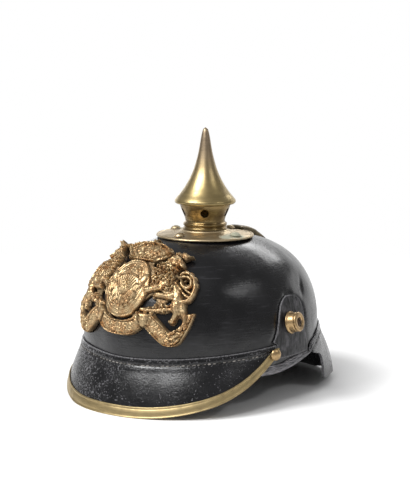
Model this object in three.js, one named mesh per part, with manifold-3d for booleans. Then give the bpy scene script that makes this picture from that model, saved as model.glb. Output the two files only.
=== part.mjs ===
// Spiked leather helmet: a blocked leather shell with a stitched front and rear visor, a brass
// trim along the front visor, a two-part spike on a studded base plate, a raised spine down the
// back, a pressed plate on the front, and a leather tab with a brass post on each side.
// Units are millimetres and +Z is up. The front faces -Y and +X is the wearer's left.
// A plan angle is counted from the front (0) towards the wearer's left (90) and the rear (180).
import * as THREE from 'three';
import * as BufferGeometryUtils from 'three/addons/utils/BufferGeometryUtils.js';
import Module from 'manifold-3d';

// ---- driving dimensions -----------------------------------------------------------------------
const GAP = 0.35;                    // clearance kept between two pieces that lie together
const SHELL = {
  halfWidth: 92, halfLength: 107,    // outside, at and below the equator
  equatorZ: 47, rise: 87,            // straight wall up to the equator, then the crown
  roundness: 2.6,                    // exponent of the crown's side profile
  wall: 2.5,
  frontEdgeZ: 34.6, rearEdgeZ: 38.7,
};
const RIM = { wall: 4.6, frontZ: 26.4, rearZ: 34.3, edgeRound: 1.4 };
const VISOR = { leather: 2.0, flange: 6.5, bend: 5 };
const FRONT_VISOR = {
  endAngle: 80.3, seamFrontZ: 44, seamSideZ: 51, seamPower: 1.55,
  edgeHalfWidth: 106.4, edgeHalfLength: 124.8,       // plan of the free edge, inside
  endHalfWidth: 93.6, endHalfLength: 110.2, endFrom: 45,  // closing in to the shell at its ends
  flatAngle: 8, sideAngle: 79, sideZ: 41.3, curlPower: 2.47,
};
const REAR_VISOR = {
  seamZ: 54.4, edgeFlare: 0.054, rearFlare: 0.185, flareFrom: 62, flareTo: 25,
  belly: 0.7, flatAngle: 16, cornerAngle: 58.3, cornerZ: 9, edgePower: 0.65,
};
const TRIM = { brass: 0.7, frontWidth: 9, sideWidth: 8, insideWidth: 4.2, endAngle: 81.2 };
const TRIM_STUD = { radius: 4.8, height: 2.6, angle: 78.4, z: 44.6, lift: 1.4 };
const SEGMENTS = { shell: 60, base: 48, spike: 36, neck: 32, post: 24, stud: 16, studRows: 4, vent: 14 };
const TAB = { leather: 1.2, columns: 8 };
const POST = { y: 0.5, z: 67.5, baseX: 93, lean: 6, flangeRadius: 9.2, barrelRadius: 8.2, length: 9.2 };
const BASE = { radius: 41.8, brass: 1.2, holeRadius: 13, footRadius: 19.6, footZ: 137.3 };
const BASE_STUD = { circleRadius: 33.5, radius: 4.6, height: 2.6 };
const NECK = { brass: 1.2, ventZ: 152.4, ventRadius: 3.2, vents: 5, ventAngle: 36 };
const SPIKE = { brass: 1.3, hollowFromZ: 162, hollowTopZ: 212 };
const SPINE = { halfWidth: 7.6, endZ: REAR_VISOR.seamZ + 2.2, thickness: 1.5, edgeShare: 0.6 };
const PLATE = { centre: [0, -100.06, 90], tilt: 24, chartRadius: 85, inner: 0.5, outer: 5.4 };

// Side profile of the spike, outside, from the tip down to the lip.
const SPIKE_PROFILE = [
  { z: 224.0, r: 0 }, { z: 223.3, r: 1.2 }, { z: 221.5, r: 2.4 }, { z: 216.6, r: 3.6 },
  { z: 209.5, r: 4.8 }, { z: 202.4, r: 6.1 }, { z: 195.3, r: 7.9 }, { z: 188.2, r: 10.1 },
  { z: 181.2, r: 13.1 }, { z: 174.1, r: 17.0 }, { z: 168.4, r: 21.0 }, { z: 164.9, r: 24.0 },
  { z: 163.0, r: 25.5 }, { z: 161.9, r: 26.1 }, { z: 160.5, r: 26.0 }, { z: 159.4, r: 24.9 },
];
// Side profile of the collar under the spike, outside, from its foot up to the flare.
const NECK_PROFILE = [
  { z: 137.7, r: 18.9 }, { z: 138.9, r: 18.6 }, { z: 139.9, r: 17.7 }, { z: 141.0, r: 18.6 },
  { z: 142.6, r: 18.6 }, { z: 143.8, r: 17.2 }, { z: 145.6, r: 17.0 }, { z: 148.6, r: 17.8 },
  { z: 151.1, r: 18.9 }, { z: 153.7, r: 20.0 }, { z: 156.3, r: 21.0 }, { z: 158.8, r: 21.7 },
];
// Raised spine, along the middle of the back: how far its underside and top stand off the shell.
const SPINE_PROFILE = [
  { y: 38.8, lift: 2.9, top: 4.0 }, { y: 40.2, lift: 2.9, top: 4.9 }, { y: 43.6, lift: 2.9, top: 5.6 },
  { y: 44.8, lift: 0.4, top: 5.7 }, { y: 52.0, lift: 0.4, top: 5.9 }, { y: 60.0, lift: 0.4, top: 5.6 },
  { y: 63.0, lift: 0.4, top: 5.0 }, { y: 74.0, lift: 0.4, top: 3.8 }, { y: 83.0, lift: 0.4, top: 2.4 },
  { y: 89.0, lift: 0.4, top: 1.9 },
];
// Outline of the leather tab on each side: its front and rear edges at each height.
const TAB_OUTLINE = [
  { z: 39.2, front: -14.6, rear: 29.0 }, { z: 45.0, front: -14.9, rear: 28.7 },
  { z: 51.2, front: -15.4, rear: 26.6 }, { z: 53.4, front: -19.6, rear: 25.8 },
  { z: 57.0, front: -17.0, rear: 24.4 }, { z: 63.0, front: -14.4, rear: 23.6 },
  { z: 75.0, front: -11.2, rear: 23.4 }, { z: 81.0, front: -8.8, rear: 22.0 },
  { z: 85.0, front: -5.4, rear: 18.6 }, { z: 87.6, front: -1.8, rear: 13.8 },
  { z: 89.0, front: 1.8, rear: 7.6 },
];
// Front corner of the rear visor, by angle from the rear: its seam above and free edge below.
const REAR_CORNER = [
  { angle: 58.3, seamZ: 51.6, freeZ: 9.0 }, { angle: 58.9, seamZ: 51.2, freeZ: 20.0 },
  { angle: 59.6, seamZ: 50.8, freeZ: 27.0 }, { angle: 61.2, seamZ: 49.8, freeZ: 31.0 },
  { angle: 64.2, seamZ: 47.6, freeZ: 33.0 }, { angle: 68.2, seamZ: 46.2, freeZ: 34.8 },
  { angle: 70.6, seamZ: 44.6, freeZ: 36.2 }, { angle: 73.0, seamZ: 40.0, freeZ: 37.8 },
];
// Right half of the plate's outline on its chart (mirrored for the other half), and its openings.
const PLATE_OUTLINE = [
  { u: 0, v: 62 }, { u: 11, v: 61 }, { u: 17, v: 55 }, { u: 12.5, v: 46 }, { u: 11.5, v: 40.5 },
  { u: 16, v: 44 }, { u: 20.5, v: 53 }, { u: 25, v: 51.5 }, { u: 30, v: 55.5 }, { u: 34, v: 53.5 },
  { u: 39.5, v: 58.5 }, { u: 42.5, v: 51 }, { u: 45.5, v: 42 }, { u: 44, v: 36 }, { u: 49.5, v: 35.5 },
  { u: 57.5, v: 32.5 }, { u: 62.5, v: 24 }, { u: 61.5, v: 13 }, { u: 58, v: 5 }, { u: 59.5, v: -4 },
  { u: 62, v: -10 }, { u: 67, v: -1 }, { u: 66.5, v: -12 }, { u: 62, v: -25 }, { u: 57, v: -31.5 },
  { u: 47, v: -33.6 }, { u: 36, v: -29.5 }, { u: 26, v: -21.5 }, { u: 21, v: -27.5 },
  { u: 12, v: -29.3 }, { u: 0, v: -29.8 },
];
const PLATE_OPENINGS = [
  [
    { u: 32, v: -8 }, { u: 48, v: -4 }, { u: 57, v: -12.5 }, { u: 55.5, v: -17 }, { u: 47, v: -20.5 },
    { u: 40, v: -16 },
  ],
  [
    { u: 14, v: -9.5 }, { u: 21, v: -1.5 }, { u: 30, v: 4.5 }, { u: 28.5, v: -2 }, { u: 21, v: -7.5 },
    { u: 14, v: -13 },
  ],
];

// ---- finishes ---------------------------------------------------------------------------------
const finish = (color, roughness, metalness) => ({ color, roughness, metalness });
const LEATHER = finish(0x17161a, 0.45, 0.0);
const WORN_LEATHER = finish(0x201f22, 0.6, 0.0);
const PALE_BRASS = finish(0xb9a46c, 0.4, 0.9);
const OLIVE_BRASS = finish(0x8b7646, 0.35, 0.95);
const DULL_BRASS = finish(0x8f7c66, 0.5, 0.85);
const GILT_BRASS = finish(0xb58a4f, 0.35, 0.95);

// ---- small helpers ----------------------------------------------------------------------------
const radians = THREE.MathUtils.degToRad;
const mix = THREE.MathUtils.lerp;
const ease = THREE.MathUtils.smoothstep;
const range = (count, make) => Array.from({ length: count }, (_, index) => make(index));
const spread = (from, to, steps) => range(steps + 1, (index) => mix(from, to, index / steps));

// Reads a column of a table between its rows.
function between(table, key, at, column) {
  const last = table.length - 1;
  const next = table.findIndex((row) => row[key] >= at);
  if (next === 0) return table[0][column];
  if (next < 0) return table[last][column];
  const low = table[next - 1];
  const high = table[next];
  return mix(low[column], high[column], (at - low[key]) / (high[key] - low[key]));
}

// Joins closed sections, each made of an outer line of points and an inner line of as many.
// An open run gets a cap at each end.
function loft(sections, closedRun) {
  const positions = [];
  const triangle = (...corners) => corners.forEach((corner) => positions.push(...corner));
  const quad = (a, b, c, d) => {
    triangle(a, b, c);
    triangle(a, c, d);
  };
  const loops = sections.map(({ outer, inner }) => [...outer, ...[...inner].reverse()]);
  const runs = closedRun ? loops.length : loops.length - 1;
  for (let i = 0; i < runs; i += 1) {
    const here = loops[i];
    const there = loops[(i + 1) % loops.length];
    here.forEach((point, j) => {
      const k = (j + 1) % here.length;
      quad(point, here[k], there[k], there[j]);
    });
  }
  if (!closedRun) {
    const cap = ({ outer, inner }, flip) => {
      for (let j = 0; j < outer.length - 1; j += 1) {
        const corners = [outer[j], inner[j], inner[j + 1], outer[j + 1]];
        quad(...(flip ? corners.reverse() : corners));
      }
    };
    cap(sections[0], false);
    cap(sections[sections.length - 1], true);
  }
  const geometry = new THREE.BufferGeometry();
  geometry.setAttribute('position', new THREE.Float32BufferAttribute(positions, 3));
  return closeUp(geometry);
}

// Merges shared vertices, drops triangles with no area and turns the faces outwards.
function closeUp(geometry) {
  geometry.deleteAttribute('normal');
  geometry.deleteAttribute('uv');
  const merged = BufferGeometryUtils.mergeVertices(geometry, 1e-3);
  const index = [...merged.index.array];
  const points = merged.attributes.position;
  const at = (corner) => new THREE.Vector3().fromBufferAttribute(points, corner);
  const kept = [];
  let volume = 0;
  for (let i = 0; i < index.length; i += 3) {
    const [a, b, c] = index.slice(i, i + 3);
    if (a === b || b === c || c === a) continue;
    kept.push([a, b, c]);
    volume += at(a).dot(at(b).cross(at(c)));
  }
  merged.setIndex((volume < 0 ? kept.map(([a, b, c]) => [a, c, b]) : kept).flat());
  merged.computeVertexNormals();
  return merged;
}

// Turns a profile of { z, r } rows round the Z axis.
function turned(profile, segments) {
  const points = profile.map(({ z, r }) => new THREE.Vector2(r, z));
  const closed = points[0].x > 0 || points[points.length - 1].x > 0;
  if (closed) points.push(points[0].clone());
  const geometry = new THREE.LatheGeometry(points, segments);
  geometry.rotateX(Math.PI / 2);
  return closeUp(geometry);
}

// Adds the inside of a thin turned wall to its outside profile.
function hollowed(profile, wall) {
  const inside = profile.filter(({ r }) => r > wall * 1.6).map(({ z, r }) => ({ z, r: r - wall }));
  return [...profile, ...inside.reverse()];
}

// ---- solids by manifold-3d --------------------------------------------------------------------
const manifold = await Module();
manifold.setup();

function solid(geometry) {
  const source = geometry.clone();
  source.deleteAttribute('normal');
  source.deleteAttribute('uv');
  const merged = BufferGeometryUtils.mergeVertices(source, 1e-4);
  const vertProperties = new Float32Array(merged.attributes.position.array);
  const triVerts = new Uint32Array(merged.index.array);
  return new manifold.Manifold(new manifold.Mesh({ numProp: 3, vertProperties, triVerts }));
}

function geometryOf(body) {
  const { vertProperties, triVerts } = body.getMesh();
  const geometry = new THREE.BufferGeometry();
  geometry.setAttribute('position', new THREE.BufferAttribute(vertProperties, 3));
  geometry.setIndex(new THREE.BufferAttribute(triVerts, 1));
  geometry.computeVertexNormals();
  return geometry;
}

// ---- the shell's surface ----------------------------------------------------------------------
// Share of the full plan size that the crown has at a height, on a surface set off by `offset`.
function crownShare(z, offset) {
  const climb = Math.max(z - SHELL.equatorZ, 0) / (SHELL.rise + offset);
  return (1 - Math.min(climb, 1) ** SHELL.roundness) ** (1 / SHELL.roundness);
}

function wallPoint(angle, z, offset) {
  const share = crownShare(z, offset);
  const x = (SHELL.halfWidth + offset) * share * Math.sin(radians(angle));
  const y = -(SHELL.halfLength + offset) * share * Math.cos(radians(angle));
  return [x, y, z];
}

// Point on the crown by its climb angle: 0 at the equator and 90 at the top.
function crownPoint(angle, climb, offset) {
  const share = Math.max(Math.cos(radians(climb)), 0) ** (2 / SHELL.roundness);
  const lift = Math.sin(radians(climb)) ** (2 / SHELL.roundness);
  const x = (SHELL.halfWidth + offset) * share * Math.sin(radians(angle));
  const y = -(SHELL.halfLength + offset) * share * Math.cos(radians(angle));
  return climb >= 90 ? [0, 0, SHELL.equatorZ + SHELL.rise + offset]
    : [x, y, SHELL.equatorZ + (SHELL.rise + offset) * lift];
}

// Sideways reach of the shell at a place on its side.
function sideX(y, z, offset) {
  const share = crownShare(z, offset);
  return (SHELL.halfWidth + offset) * Math.sqrt(share ** 2 - (y / (SHELL.halfLength + offset)) ** 2);
}

const foldAngle = (angle) => Math.abs(((angle + 180) % 360 + 360) % 360 - 180);
const shellEdgeZ = (angle) => mix(SHELL.frontEdgeZ, SHELL.rearEdgeZ, ease(foldAngle(angle), 82, 98));
const rimBottomZ = (angle) => mix(RIM.frontZ, RIM.rearZ, ease(foldAngle(angle), 78, 116));

function shellGeometry() {
  const climbs = [8, 16, 24, 32, 40, 48, 56, 64, 72, 80, 85, 90];
  const column = (angle, offset) => [
    wallPoint(angle, shellEdgeZ(angle), offset),
    wallPoint(angle, SHELL.equatorZ, offset),
    ...climbs.map((climb) => crownPoint(angle, climb, offset)),
  ];
  const sections = range(SEGMENTS.shell, (index) => {
    const angle = index * 360 / SEGMENTS.shell;
    return { outer: column(angle, 0), inner: column(angle, -SHELL.wall) };
  });
  return loft(sections, true);
}

// Rolled leather edge that closes the shell's lower rim, all the way round.
function rimGeometry() {
  const sections = range(SEGMENTS.shell, (index) => {
    const angle = index * 360 / SEGMENTS.shell;
    const top = shellEdgeZ(angle) - GAP;
    const bottom = rimBottomZ(angle);
    const round = RIM.edgeRound;
    return {
      outer: [
        wallPoint(angle, bottom, -round),
        wallPoint(angle, bottom + round, 0),
        wallPoint(angle, top, 0),
      ],
      inner: [
        wallPoint(angle, bottom, -RIM.wall + round),
        wallPoint(angle, bottom + round, -RIM.wall),
        wallPoint(angle, top, -RIM.wall),
      ],
    };
  });
  return loft(sections, true);
}

// ---- visors -----------------------------------------------------------------------------------
// How far a visor has left the shell, from 0 on the flange to 1 at its edge, with a soft bend.
function flareShare(z, bendZ, edgeZ, bend) {
  const soft = (drop) => {
    if (drop <= -bend) return 0;
    if (drop >= bend) return drop;
    return (drop + bend) ** 2 / (4 * bend);
  };
  return soft(bendZ - z) / Math.max(soft(bendZ - edgeZ), 1e-6);
}

const frontEdgeZ = (angle) => {
  const { flatAngle, sideAngle, sideZ, curlPower } = FRONT_VISOR;
  const along = (Math.abs(angle) - flatAngle) / (sideAngle - flatAngle);
  return sideZ * THREE.MathUtils.clamp(along, 0, 1) ** curlPower;
};
const frontSeamZ = (angle) => {
  const { seamFrontZ, seamSideZ, seamPower, sideAngle } = FRONT_VISOR;
  return mix(seamFrontZ, seamSideZ, (Math.abs(angle) / sideAngle) ** seamPower);
};

// The front visor's inner face.
function frontVisorPoint(angle, z) {
  const wall = wallPoint(angle, z, GAP);
  const atEnd = ease(Math.abs(angle), FRONT_VISOR.endFrom, FRONT_VISOR.endAngle);
  const bend = VISOR.bend * mix(1, 0.5, atEnd);
  const halfWidth = mix(FRONT_VISOR.edgeHalfWidth, FRONT_VISOR.endHalfWidth, atEnd);
  const halfLength = mix(FRONT_VISOR.edgeHalfLength, FRONT_VISOR.endHalfLength, atEnd);
  const share = flareShare(z, frontSeamZ(angle) - VISOR.flange, frontEdgeZ(angle), bend);
  const edgeX = halfWidth * Math.sin(radians(angle));
  const edgeY = -halfLength * Math.cos(radians(angle));
  return [mix(wall[0], edgeX, share), mix(wall[1], edgeY, share), z];
}

const rearSeamZ = (angle) => {
  const corner = between(REAR_CORNER, 'angle', Math.abs(angle), 'seamZ');
  return Math.abs(angle) >= REAR_VISOR.cornerAngle ? corner
    : mix(REAR_VISOR.seamZ, corner, ease(Math.abs(angle), 40, REAR_VISOR.cornerAngle));
};
const rearEdgeZ = (angle) => {
  const { flatAngle, cornerAngle, cornerZ, edgePower } = REAR_VISOR;
  return cornerZ * (Math.max(Math.abs(angle) - flatAngle, 0) / (cornerAngle - flatAngle)) ** edgePower;
};
const rearFreeZ = (angle) => (Math.abs(angle) < REAR_VISOR.cornerAngle ? rearEdgeZ(angle)
  : between(REAR_CORNER, 'angle', Math.abs(angle), 'freeZ'));

// The rear visor's inner face. Its angle is counted from the rear, positive to the wearer's left.
function rearVisorPoint(angle, z) {
  const wall = wallPoint(180 - angle, z, GAP);
  const { edgeFlare, rearFlare, flareFrom, flareTo } = REAR_VISOR;
  const towardsRear = ease(flareFrom - Math.abs(angle), 0, flareFrom - flareTo);
  const flare = mix(edgeFlare, rearFlare, towardsRear);
  const share = flareShare(z, rearSeamZ(angle) - VISOR.flange, rearEdgeZ(angle), VISOR.bend);
  const grow = 1 + flare * share * (1 + REAR_VISOR.belly * (1 - share));
  return [wall[0] * grow, wall[1] * grow, z];
}

// Moves off a visor's face, square to it.
function squareOff(face, angle, z, distance) {
  const step = 0.25;
  const across = new THREE.Vector3(...face(angle + step, z)).sub(new THREE.Vector3(...face(angle - step, z)));
  const up = new THREE.Vector3(...face(angle, z + step)).sub(new THREE.Vector3(...face(angle, z - step)));
  const normal = across.cross(up).normalize();
  const point = new THREE.Vector3(...face(angle, z));
  if (normal.x * point.x + normal.y * point.y < 0) normal.negate();
  return point.addScaledVector(normal, distance).toArray();
}

// The place at a height on the surface that stands off a visor's face.
function offFace(face, angle, z, distance) {
  let from = z;
  for (let step = 0; step < 8; step += 1) {
    from += z - squareOff(face, angle, from, distance)[2];
  }
  return squareOff(face, angle, from, distance);
}

// A visor's leather at one angle: its inner and outer faces from the free edge to the seam.
function visorSection(face, angle, lowZ, seamZ, shares) {
  const heights = shares.map((share) => mix(lowZ, seamZ, share));
  const outer = heights.map((z) => offFace(face, angle, z, VISOR.leather));
  return { outer, inner: heights.map((z) => face(angle, z)) };
}

const frontColumns = () => spread(-FRONT_VISOR.endAngle, FRONT_VISOR.endAngle, 40);
const VISOR_ROWS = [0, 0.3, 0.55, 0.72, 0.8, 0.86, 0.92, 1];

function frontVisorGeometry() {
  const edge = TRIM.brass + GAP;
  const sections = frontColumns().map((angle) => (
    visorSection(frontVisorPoint, angle, frontEdgeZ(angle) + edge, frontSeamZ(angle), VISOR_ROWS)
  ));
  return loft(sections, false);
}

function rearVisorGeometry() {
  const corner = REAR_CORNER.map((row) => row.angle);
  const middle = spread(-REAR_VISOR.cornerAngle, REAR_VISOR.cornerAngle, 28).slice(1, -1);
  const angles = [...corner.map((angle) => -angle).reverse(), ...middle, ...corner];
  const sections = angles.map((angle) => (
    visorSection(rearVisorPoint, angle, rearFreeZ(angle), rearSeamZ(angle), VISOR_ROWS)
  ));
  return loft(sections, false);
}

// Brass channel folded over the front visor's edge, with a level underside to stand on.
function trimGeometry() {
  const skin = VISOR.leather + GAP;
  const sections = [-TRIM.endAngle, ...frontColumns(), TRIM.endAngle].map((angle) => {
    const low = frontEdgeZ(angle);
    const front = new THREE.Vector3(...frontVisorPoint(angle, low + 1));
    const steep = 1 / front.distanceTo(new THREE.Vector3(...frontVisorPoint(angle, low)));
    const width = mix(TRIM.frontWidth, TRIM.sideWidth, ease(Math.abs(angle), 30, 75)) * steep;
    // Towards its ends the channel loses its inner leg, where the visor closes in to the shell.
    const shorter = ease(Math.abs(angle), 48, 57);
    const shallower = ease(Math.abs(angle), 57, 66);
    const inside = mix(TRIM.insideWidth * steep, TRIM.brass * 1.2, shorter);
    const depth = mix(GAP + TRIM.brass, -TRIM.brass * 1.2, shallower);
    const at = (z, distance) => offFace(frontVisorPoint, angle, z, distance);
    return {
      outer: [
        at(low + width, skin + TRIM.brass),
        at(low + width / 2, skin + TRIM.brass),
        at(low, skin + TRIM.brass),
        at(low, -depth),
        at(low + inside, -depth),
      ],
      inner: [
        at(low + width, skin),
        at(low + width / 2, skin),
        at(low + TRIM.brass, skin),
        at(low + TRIM.brass, TRIM.brass - depth),
        at(low + inside, TRIM.brass - depth),
      ],
    };
  });
  return loft(sections, false);
}

// ---- leather tabs and spine -------------------------------------------------------------------
function tabGeometry(side) {
  const sections = TAB_OUTLINE.map(({ z, front, rear }) => {
    const across = spread(front, rear, TAB.columns);
    return {
      outer: across.map((y) => [side * sideX(y, z, GAP + TAB.leather), y, z]),
      inner: across.map((y) => [side * sideX(y, z, GAP), y, z]),
    };
  });
  return loft(sections, false);
}

function spineGeometry() {
  const strip = (offset, share, z) => {
    const halfWidth = (SHELL.halfWidth + offset) * share;
    const turn = Math.asin(SPINE.halfWidth / halfWidth);
    return [-1, -0.8, -0.4, 0, 0.4, 0.8, 1].map((part) => {
      const reach = (SHELL.halfLength + offset) * share;
      return [halfWidth * Math.sin(turn * part), reach * Math.cos(turn * part), z];
    });
  };
  const rounded = (outer, inner) => outer.map((point, j) => {
    if (j > 0 && j < outer.length - 1) return point;
    return point.map((value, axis) => mix(inner[j][axis], value, SPINE.edgeShare));
  });
  const crown = SPINE_PROFILE.map(({ y, lift, top }) => {
    const share = y / SHELL.halfLength;
    const climb = (1 - share ** SHELL.roundness) ** (1 / SHELL.roundness);
    const inner = strip(lift, share, SHELL.equatorZ + (SHELL.rise + lift) * climb);
    const outer = strip(top, share, SHELL.equatorZ + (SHELL.rise + top) * climb);
    return { inner, outer: rounded(outer, inner) };
  });
  const startZ = SHELL.equatorZ + SHELL.rise * crownShareAtY(SPINE_PROFILE[SPINE_PROFILE.length - 1].y);
  const wall = spread(startZ, SPINE.endZ, 9).slice(1).map((z) => {
    const inner = strip(GAP, crownShare(z, GAP), z);
    const outer = strip(GAP + SPINE.thickness, crownShare(z, GAP + SPINE.thickness), z);
    return { inner, outer: rounded(outer, inner) };
  });
  return loft([...crown, ...wall], false);
}

// Height share of the crown where its middle line reaches y.
function crownShareAtY(y) {
  return (1 - (y / SHELL.halfLength) ** SHELL.roundness) ** (1 / SHELL.roundness);
}

// ---- turned brass -----------------------------------------------------------------------------
const underBaseZ = (r) => SHELL.equatorZ + SHELL.rise * crownShareAtY(r) + GAP;

function spikeBaseGeometry() {
  const { radius, brass, holeRadius, footRadius, footZ } = BASE;
  const under = [holeRadius, 22, 32, radius - 0.8].map((r) => ({ z: underBaseZ(r), r }));
  return turned([
    ...under,
    { z: underBaseZ(radius) + 0.5, r: radius }, { z: underBaseZ(radius) + 1.6, r: radius - 0.3 },
    { z: underBaseZ(radius) + 1.9, r: radius - 1.4 }, { z: underBaseZ(radius) + 1.3, r: radius - 2.8 },
    { z: underBaseZ(32) + brass, r: 32 }, { z: underBaseZ(24) + brass, r: 24 },
    { z: footZ - 0.8, r: footRadius + 0.9 }, { z: footZ, r: footRadius - 0.6 }, { z: footZ, r: holeRadius },
  ], SEGMENTS.base);
}

function dome(radius, height) {
  const arc = spread(0, 90, SEGMENTS.studRows).map((angle) => ({
    z: height * Math.sin(radians(angle)), r: radius * Math.cos(radians(angle)),
  }));
  arc[arc.length - 1].r = 0;
  return turned([{ z: 0, r: 0 }, ...arc], SEGMENTS.stud);
}

function spikeGeometry() {
  const inside = SPIKE_PROFILE.filter(({ z, r }) => r > 5 && z > SPIKE.hollowFromZ)
    .map(({ z, r }) => ({ z, r: r - SPIKE.brass * 1.2 })).reverse();
  const lip = [{ z: 159.2, r: 23.4 }, { z: 159.4, r: 22.3 }, { z: 161.6, r: 22.9 }];
  return turned([...SPIKE_PROFILE, ...lip, ...inside, { z: SPIKE.hollowTopZ, r: 0 }], SEGMENTS.spike);
}

function neckGeometry() {
  let wall = solid(turned(hollowed(NECK_PROFILE, NECK.brass), SEGMENTS.neck));
  range(NECK.vents, (index) => {
    const angle = NECK.ventAngle + index * 360 / NECK.vents;
    const drill = new THREE.CylinderGeometry(NECK.ventRadius, NECK.ventRadius, 12, SEGMENTS.vent);
    drill.rotateZ(Math.PI / 2);
    drill.translate(19, 0, 0);
    drill.rotateZ(radians(angle - 90));
    drill.translate(0, 0, NECK.ventZ);
    wall = wall.subtract(solid(drill));
  });
  return geometryOf(wall);
}

function postGeometry() {
  const { flangeRadius, barrelRadius, length } = POST;
  return turned([
    { z: 0, r: 0 }, { z: 0, r: flangeRadius - 0.6 }, { z: 0.8, r: flangeRadius },
    { z: 2.0, r: flangeRadius - 0.3 }, { z: 2.6, r: barrelRadius },
    { z: length - 0.8, r: barrelRadius }, { z: length, r: barrelRadius - 0.7 },
    { z: length, r: 2.6 }, { z: length - 1.6, r: 2.0 }, { z: length - 1.6, r: 0 },
  ], SEGMENTS.post);
}

// ---- helmet plate -----------------------------------------------------------------------------
// A chart point is seen from a centre behind the plate and carried on to the shell's surface.
const plateTilt = radians(PLATE.tilt);
const plateNormal = new THREE.Vector3(0, -Math.cos(plateTilt), Math.sin(plateTilt));
const plateUp = new THREE.Vector3(0, Math.sin(plateTilt), Math.cos(plateTilt));
const plateCentre = new THREE.Vector3(...PLATE.centre);
const plateEye = plateCentre.clone().addScaledVector(plateNormal, -2 * PLATE.chartRadius);

function chartPoint(u, v, reach) {
  const target = plateCentre.clone().addScaledVector(plateUp, v);
  target.x += u;
  return plateEye.clone().lerp(target, reach);
}

// Where the ray of a chart point leaves the shell's surface set off by `offset`.
function platePoint(u, v, offset) {
  const outside = (point) => {
    const plan = Math.hypot(point.x / (SHELL.halfWidth + offset), point.y / (SHELL.halfLength + offset));
    return plan - crownShare(point.z, offset);
  };
  let low = 0.5;
  let high = 1.5;
  for (let step = 0; step < 40; step += 1) {
    const middle = (low + high) / 2;
    if (outside(chartPoint(u, v, middle)) > 0) high = middle;
    else low = middle;
  }
  return chartPoint(u, v, low).toArray();
}

function plateGeometry() {
  const half = PLATE_OUTLINE;
  const mirrored = half.slice(1, -1).map(({ u, v }) => ({ u: -u, v })).reverse();
  const contour = [...half, ...mirrored].reverse().map(({ u, v }) => new THREE.Vector2(u, v));
  const shape = new THREE.Shape(contour);
  [1, -1].forEach((side) => PLATE_OPENINGS.forEach((opening) => {
    shape.holes.push(new THREE.Path(opening.map(({ u, v }) => new THREE.Vector2(side * u, v))));
  }));
  const cutter = new THREE.ExtrudeGeometry(shape, { depth: 1, bevelEnabled: false, steps: 1 });
  const points = cutter.attributes.position;
  for (let i = 0; i < points.count; i += 1) {
    const reach = mix(0.75, 1.3, points.getZ(i));
    points.setXYZ(i, ...chartPoint(points.getX(i), points.getY(i), reach).toArray());
  }
  const sections = spread(-36, 65, 13).map((v) => ({
    outer: spread(-70, 70, 18).map((u) => platePoint(u, v, PLATE.outer)),
    inner: spread(-70, 70, 18).map((u) => platePoint(u, v, PLATE.inner)),
  }));
  return geometryOf(solid(loft(sections, false)).intersect(solid(closeUp(cutter))));
}

// ---- assembly ---------------------------------------------------------------------------------
const helmet = new THREE.Group();

function add(name, geometry, look) {
  const mesh = new THREE.Mesh(geometry, new THREE.MeshStandardMaterial({ ...look, name }));
  mesh.name = name;
  helmet.add(mesh);
  return mesh;
}

// Stands a turned piece on a place, with its axis along a direction.
function stand(mesh, place, direction) {
  mesh.position.set(...place);
  mesh.quaternion.setFromUnitVectors(new THREE.Vector3(0, 0, 1), new THREE.Vector3(...direction).normalize());
}

add('leather_shell', shellGeometry(), LEATHER);
add('rim_binding', rimGeometry(), WORN_LEATHER);
add('front_visor', frontVisorGeometry(), WORN_LEATHER);
add('rear_visor', rearVisorGeometry(), WORN_LEATHER);
add('visor_trim', trimGeometry(), PALE_BRASS);
add('spike_base', spikeBaseGeometry(), DULL_BRASS);
add('spike_neck', neckGeometry(), OLIVE_BRASS);
add('spike', spikeGeometry(), OLIVE_BRASS);
add('rear_spine', spineGeometry(), OLIVE_BRASS);
add('helmet_plate', plateGeometry(), GILT_BRASS);

[['left', 1], ['right', -1]].forEach(([name, side]) => {
  add(`side_tab_${name}`, tabGeometry(side), WORN_LEATHER);
  const post = add(`side_post_${name}`, postGeometry(), GILT_BRASS);
  const lean = radians(POST.lean);
  stand(post, [side * POST.baseX, POST.y, POST.z], [side * Math.cos(lean), 0, Math.sin(lean)]);
  const trimFace = VISOR.leather + 2 * GAP + TRIM.brass;
  const seat = offFace(frontVisorPoint, side * TRIM_STUD.angle, TRIM_STUD.z, trimFace + TRIM_STUD.lift);
  const ahead = offFace(frontVisorPoint, side * TRIM_STUD.angle, TRIM_STUD.z, trimFace + TRIM_STUD.lift + 1);
  const stud = add(`trim_stud_${name}`, dome(TRIM_STUD.radius, TRIM_STUD.height), GILT_BRASS);
  stand(stud, seat, ahead.map((value, axis) => value - seat[axis]));
});

[['front', 0], ['left', 90], ['rear', 180], ['right', 270]].forEach(([name, angle]) => {
  const r = BASE_STUD.circleRadius;
  const slope = (underBaseZ(24) - underBaseZ(32 + 6)) / 14;
  const lean = [slope * Math.sin(radians(angle)), -slope * Math.cos(radians(angle)), 1];
  const stud = add(`base_stud_${name}`, dome(BASE_STUD.radius, BASE_STUD.height), DULL_BRASS);
  const z = underBaseZ(r) + BASE.brass + 2 * GAP;
  stand(stud, [r * Math.sin(radians(angle)), -r * Math.cos(radians(angle)), z], lean);
});

// The origin is the middle of the footprint, so the spike stands a little to its rear.
const footprint = new THREE.Box3().setFromObject(helmet);
helmet.position.y = -(footprint.min.y + footprint.max.y) / 2;

export default helmet;
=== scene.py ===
"""A spiked leather helmet: its leather, brass, relief plate and stage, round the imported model."""
import math
from functools import partial

import bpy
import numpy as np
from bpy.props import FloatProperty, FloatVectorProperty, PointerProperty
from mathutils import Matrix, Vector
from mathutils import noise as bumps


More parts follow.
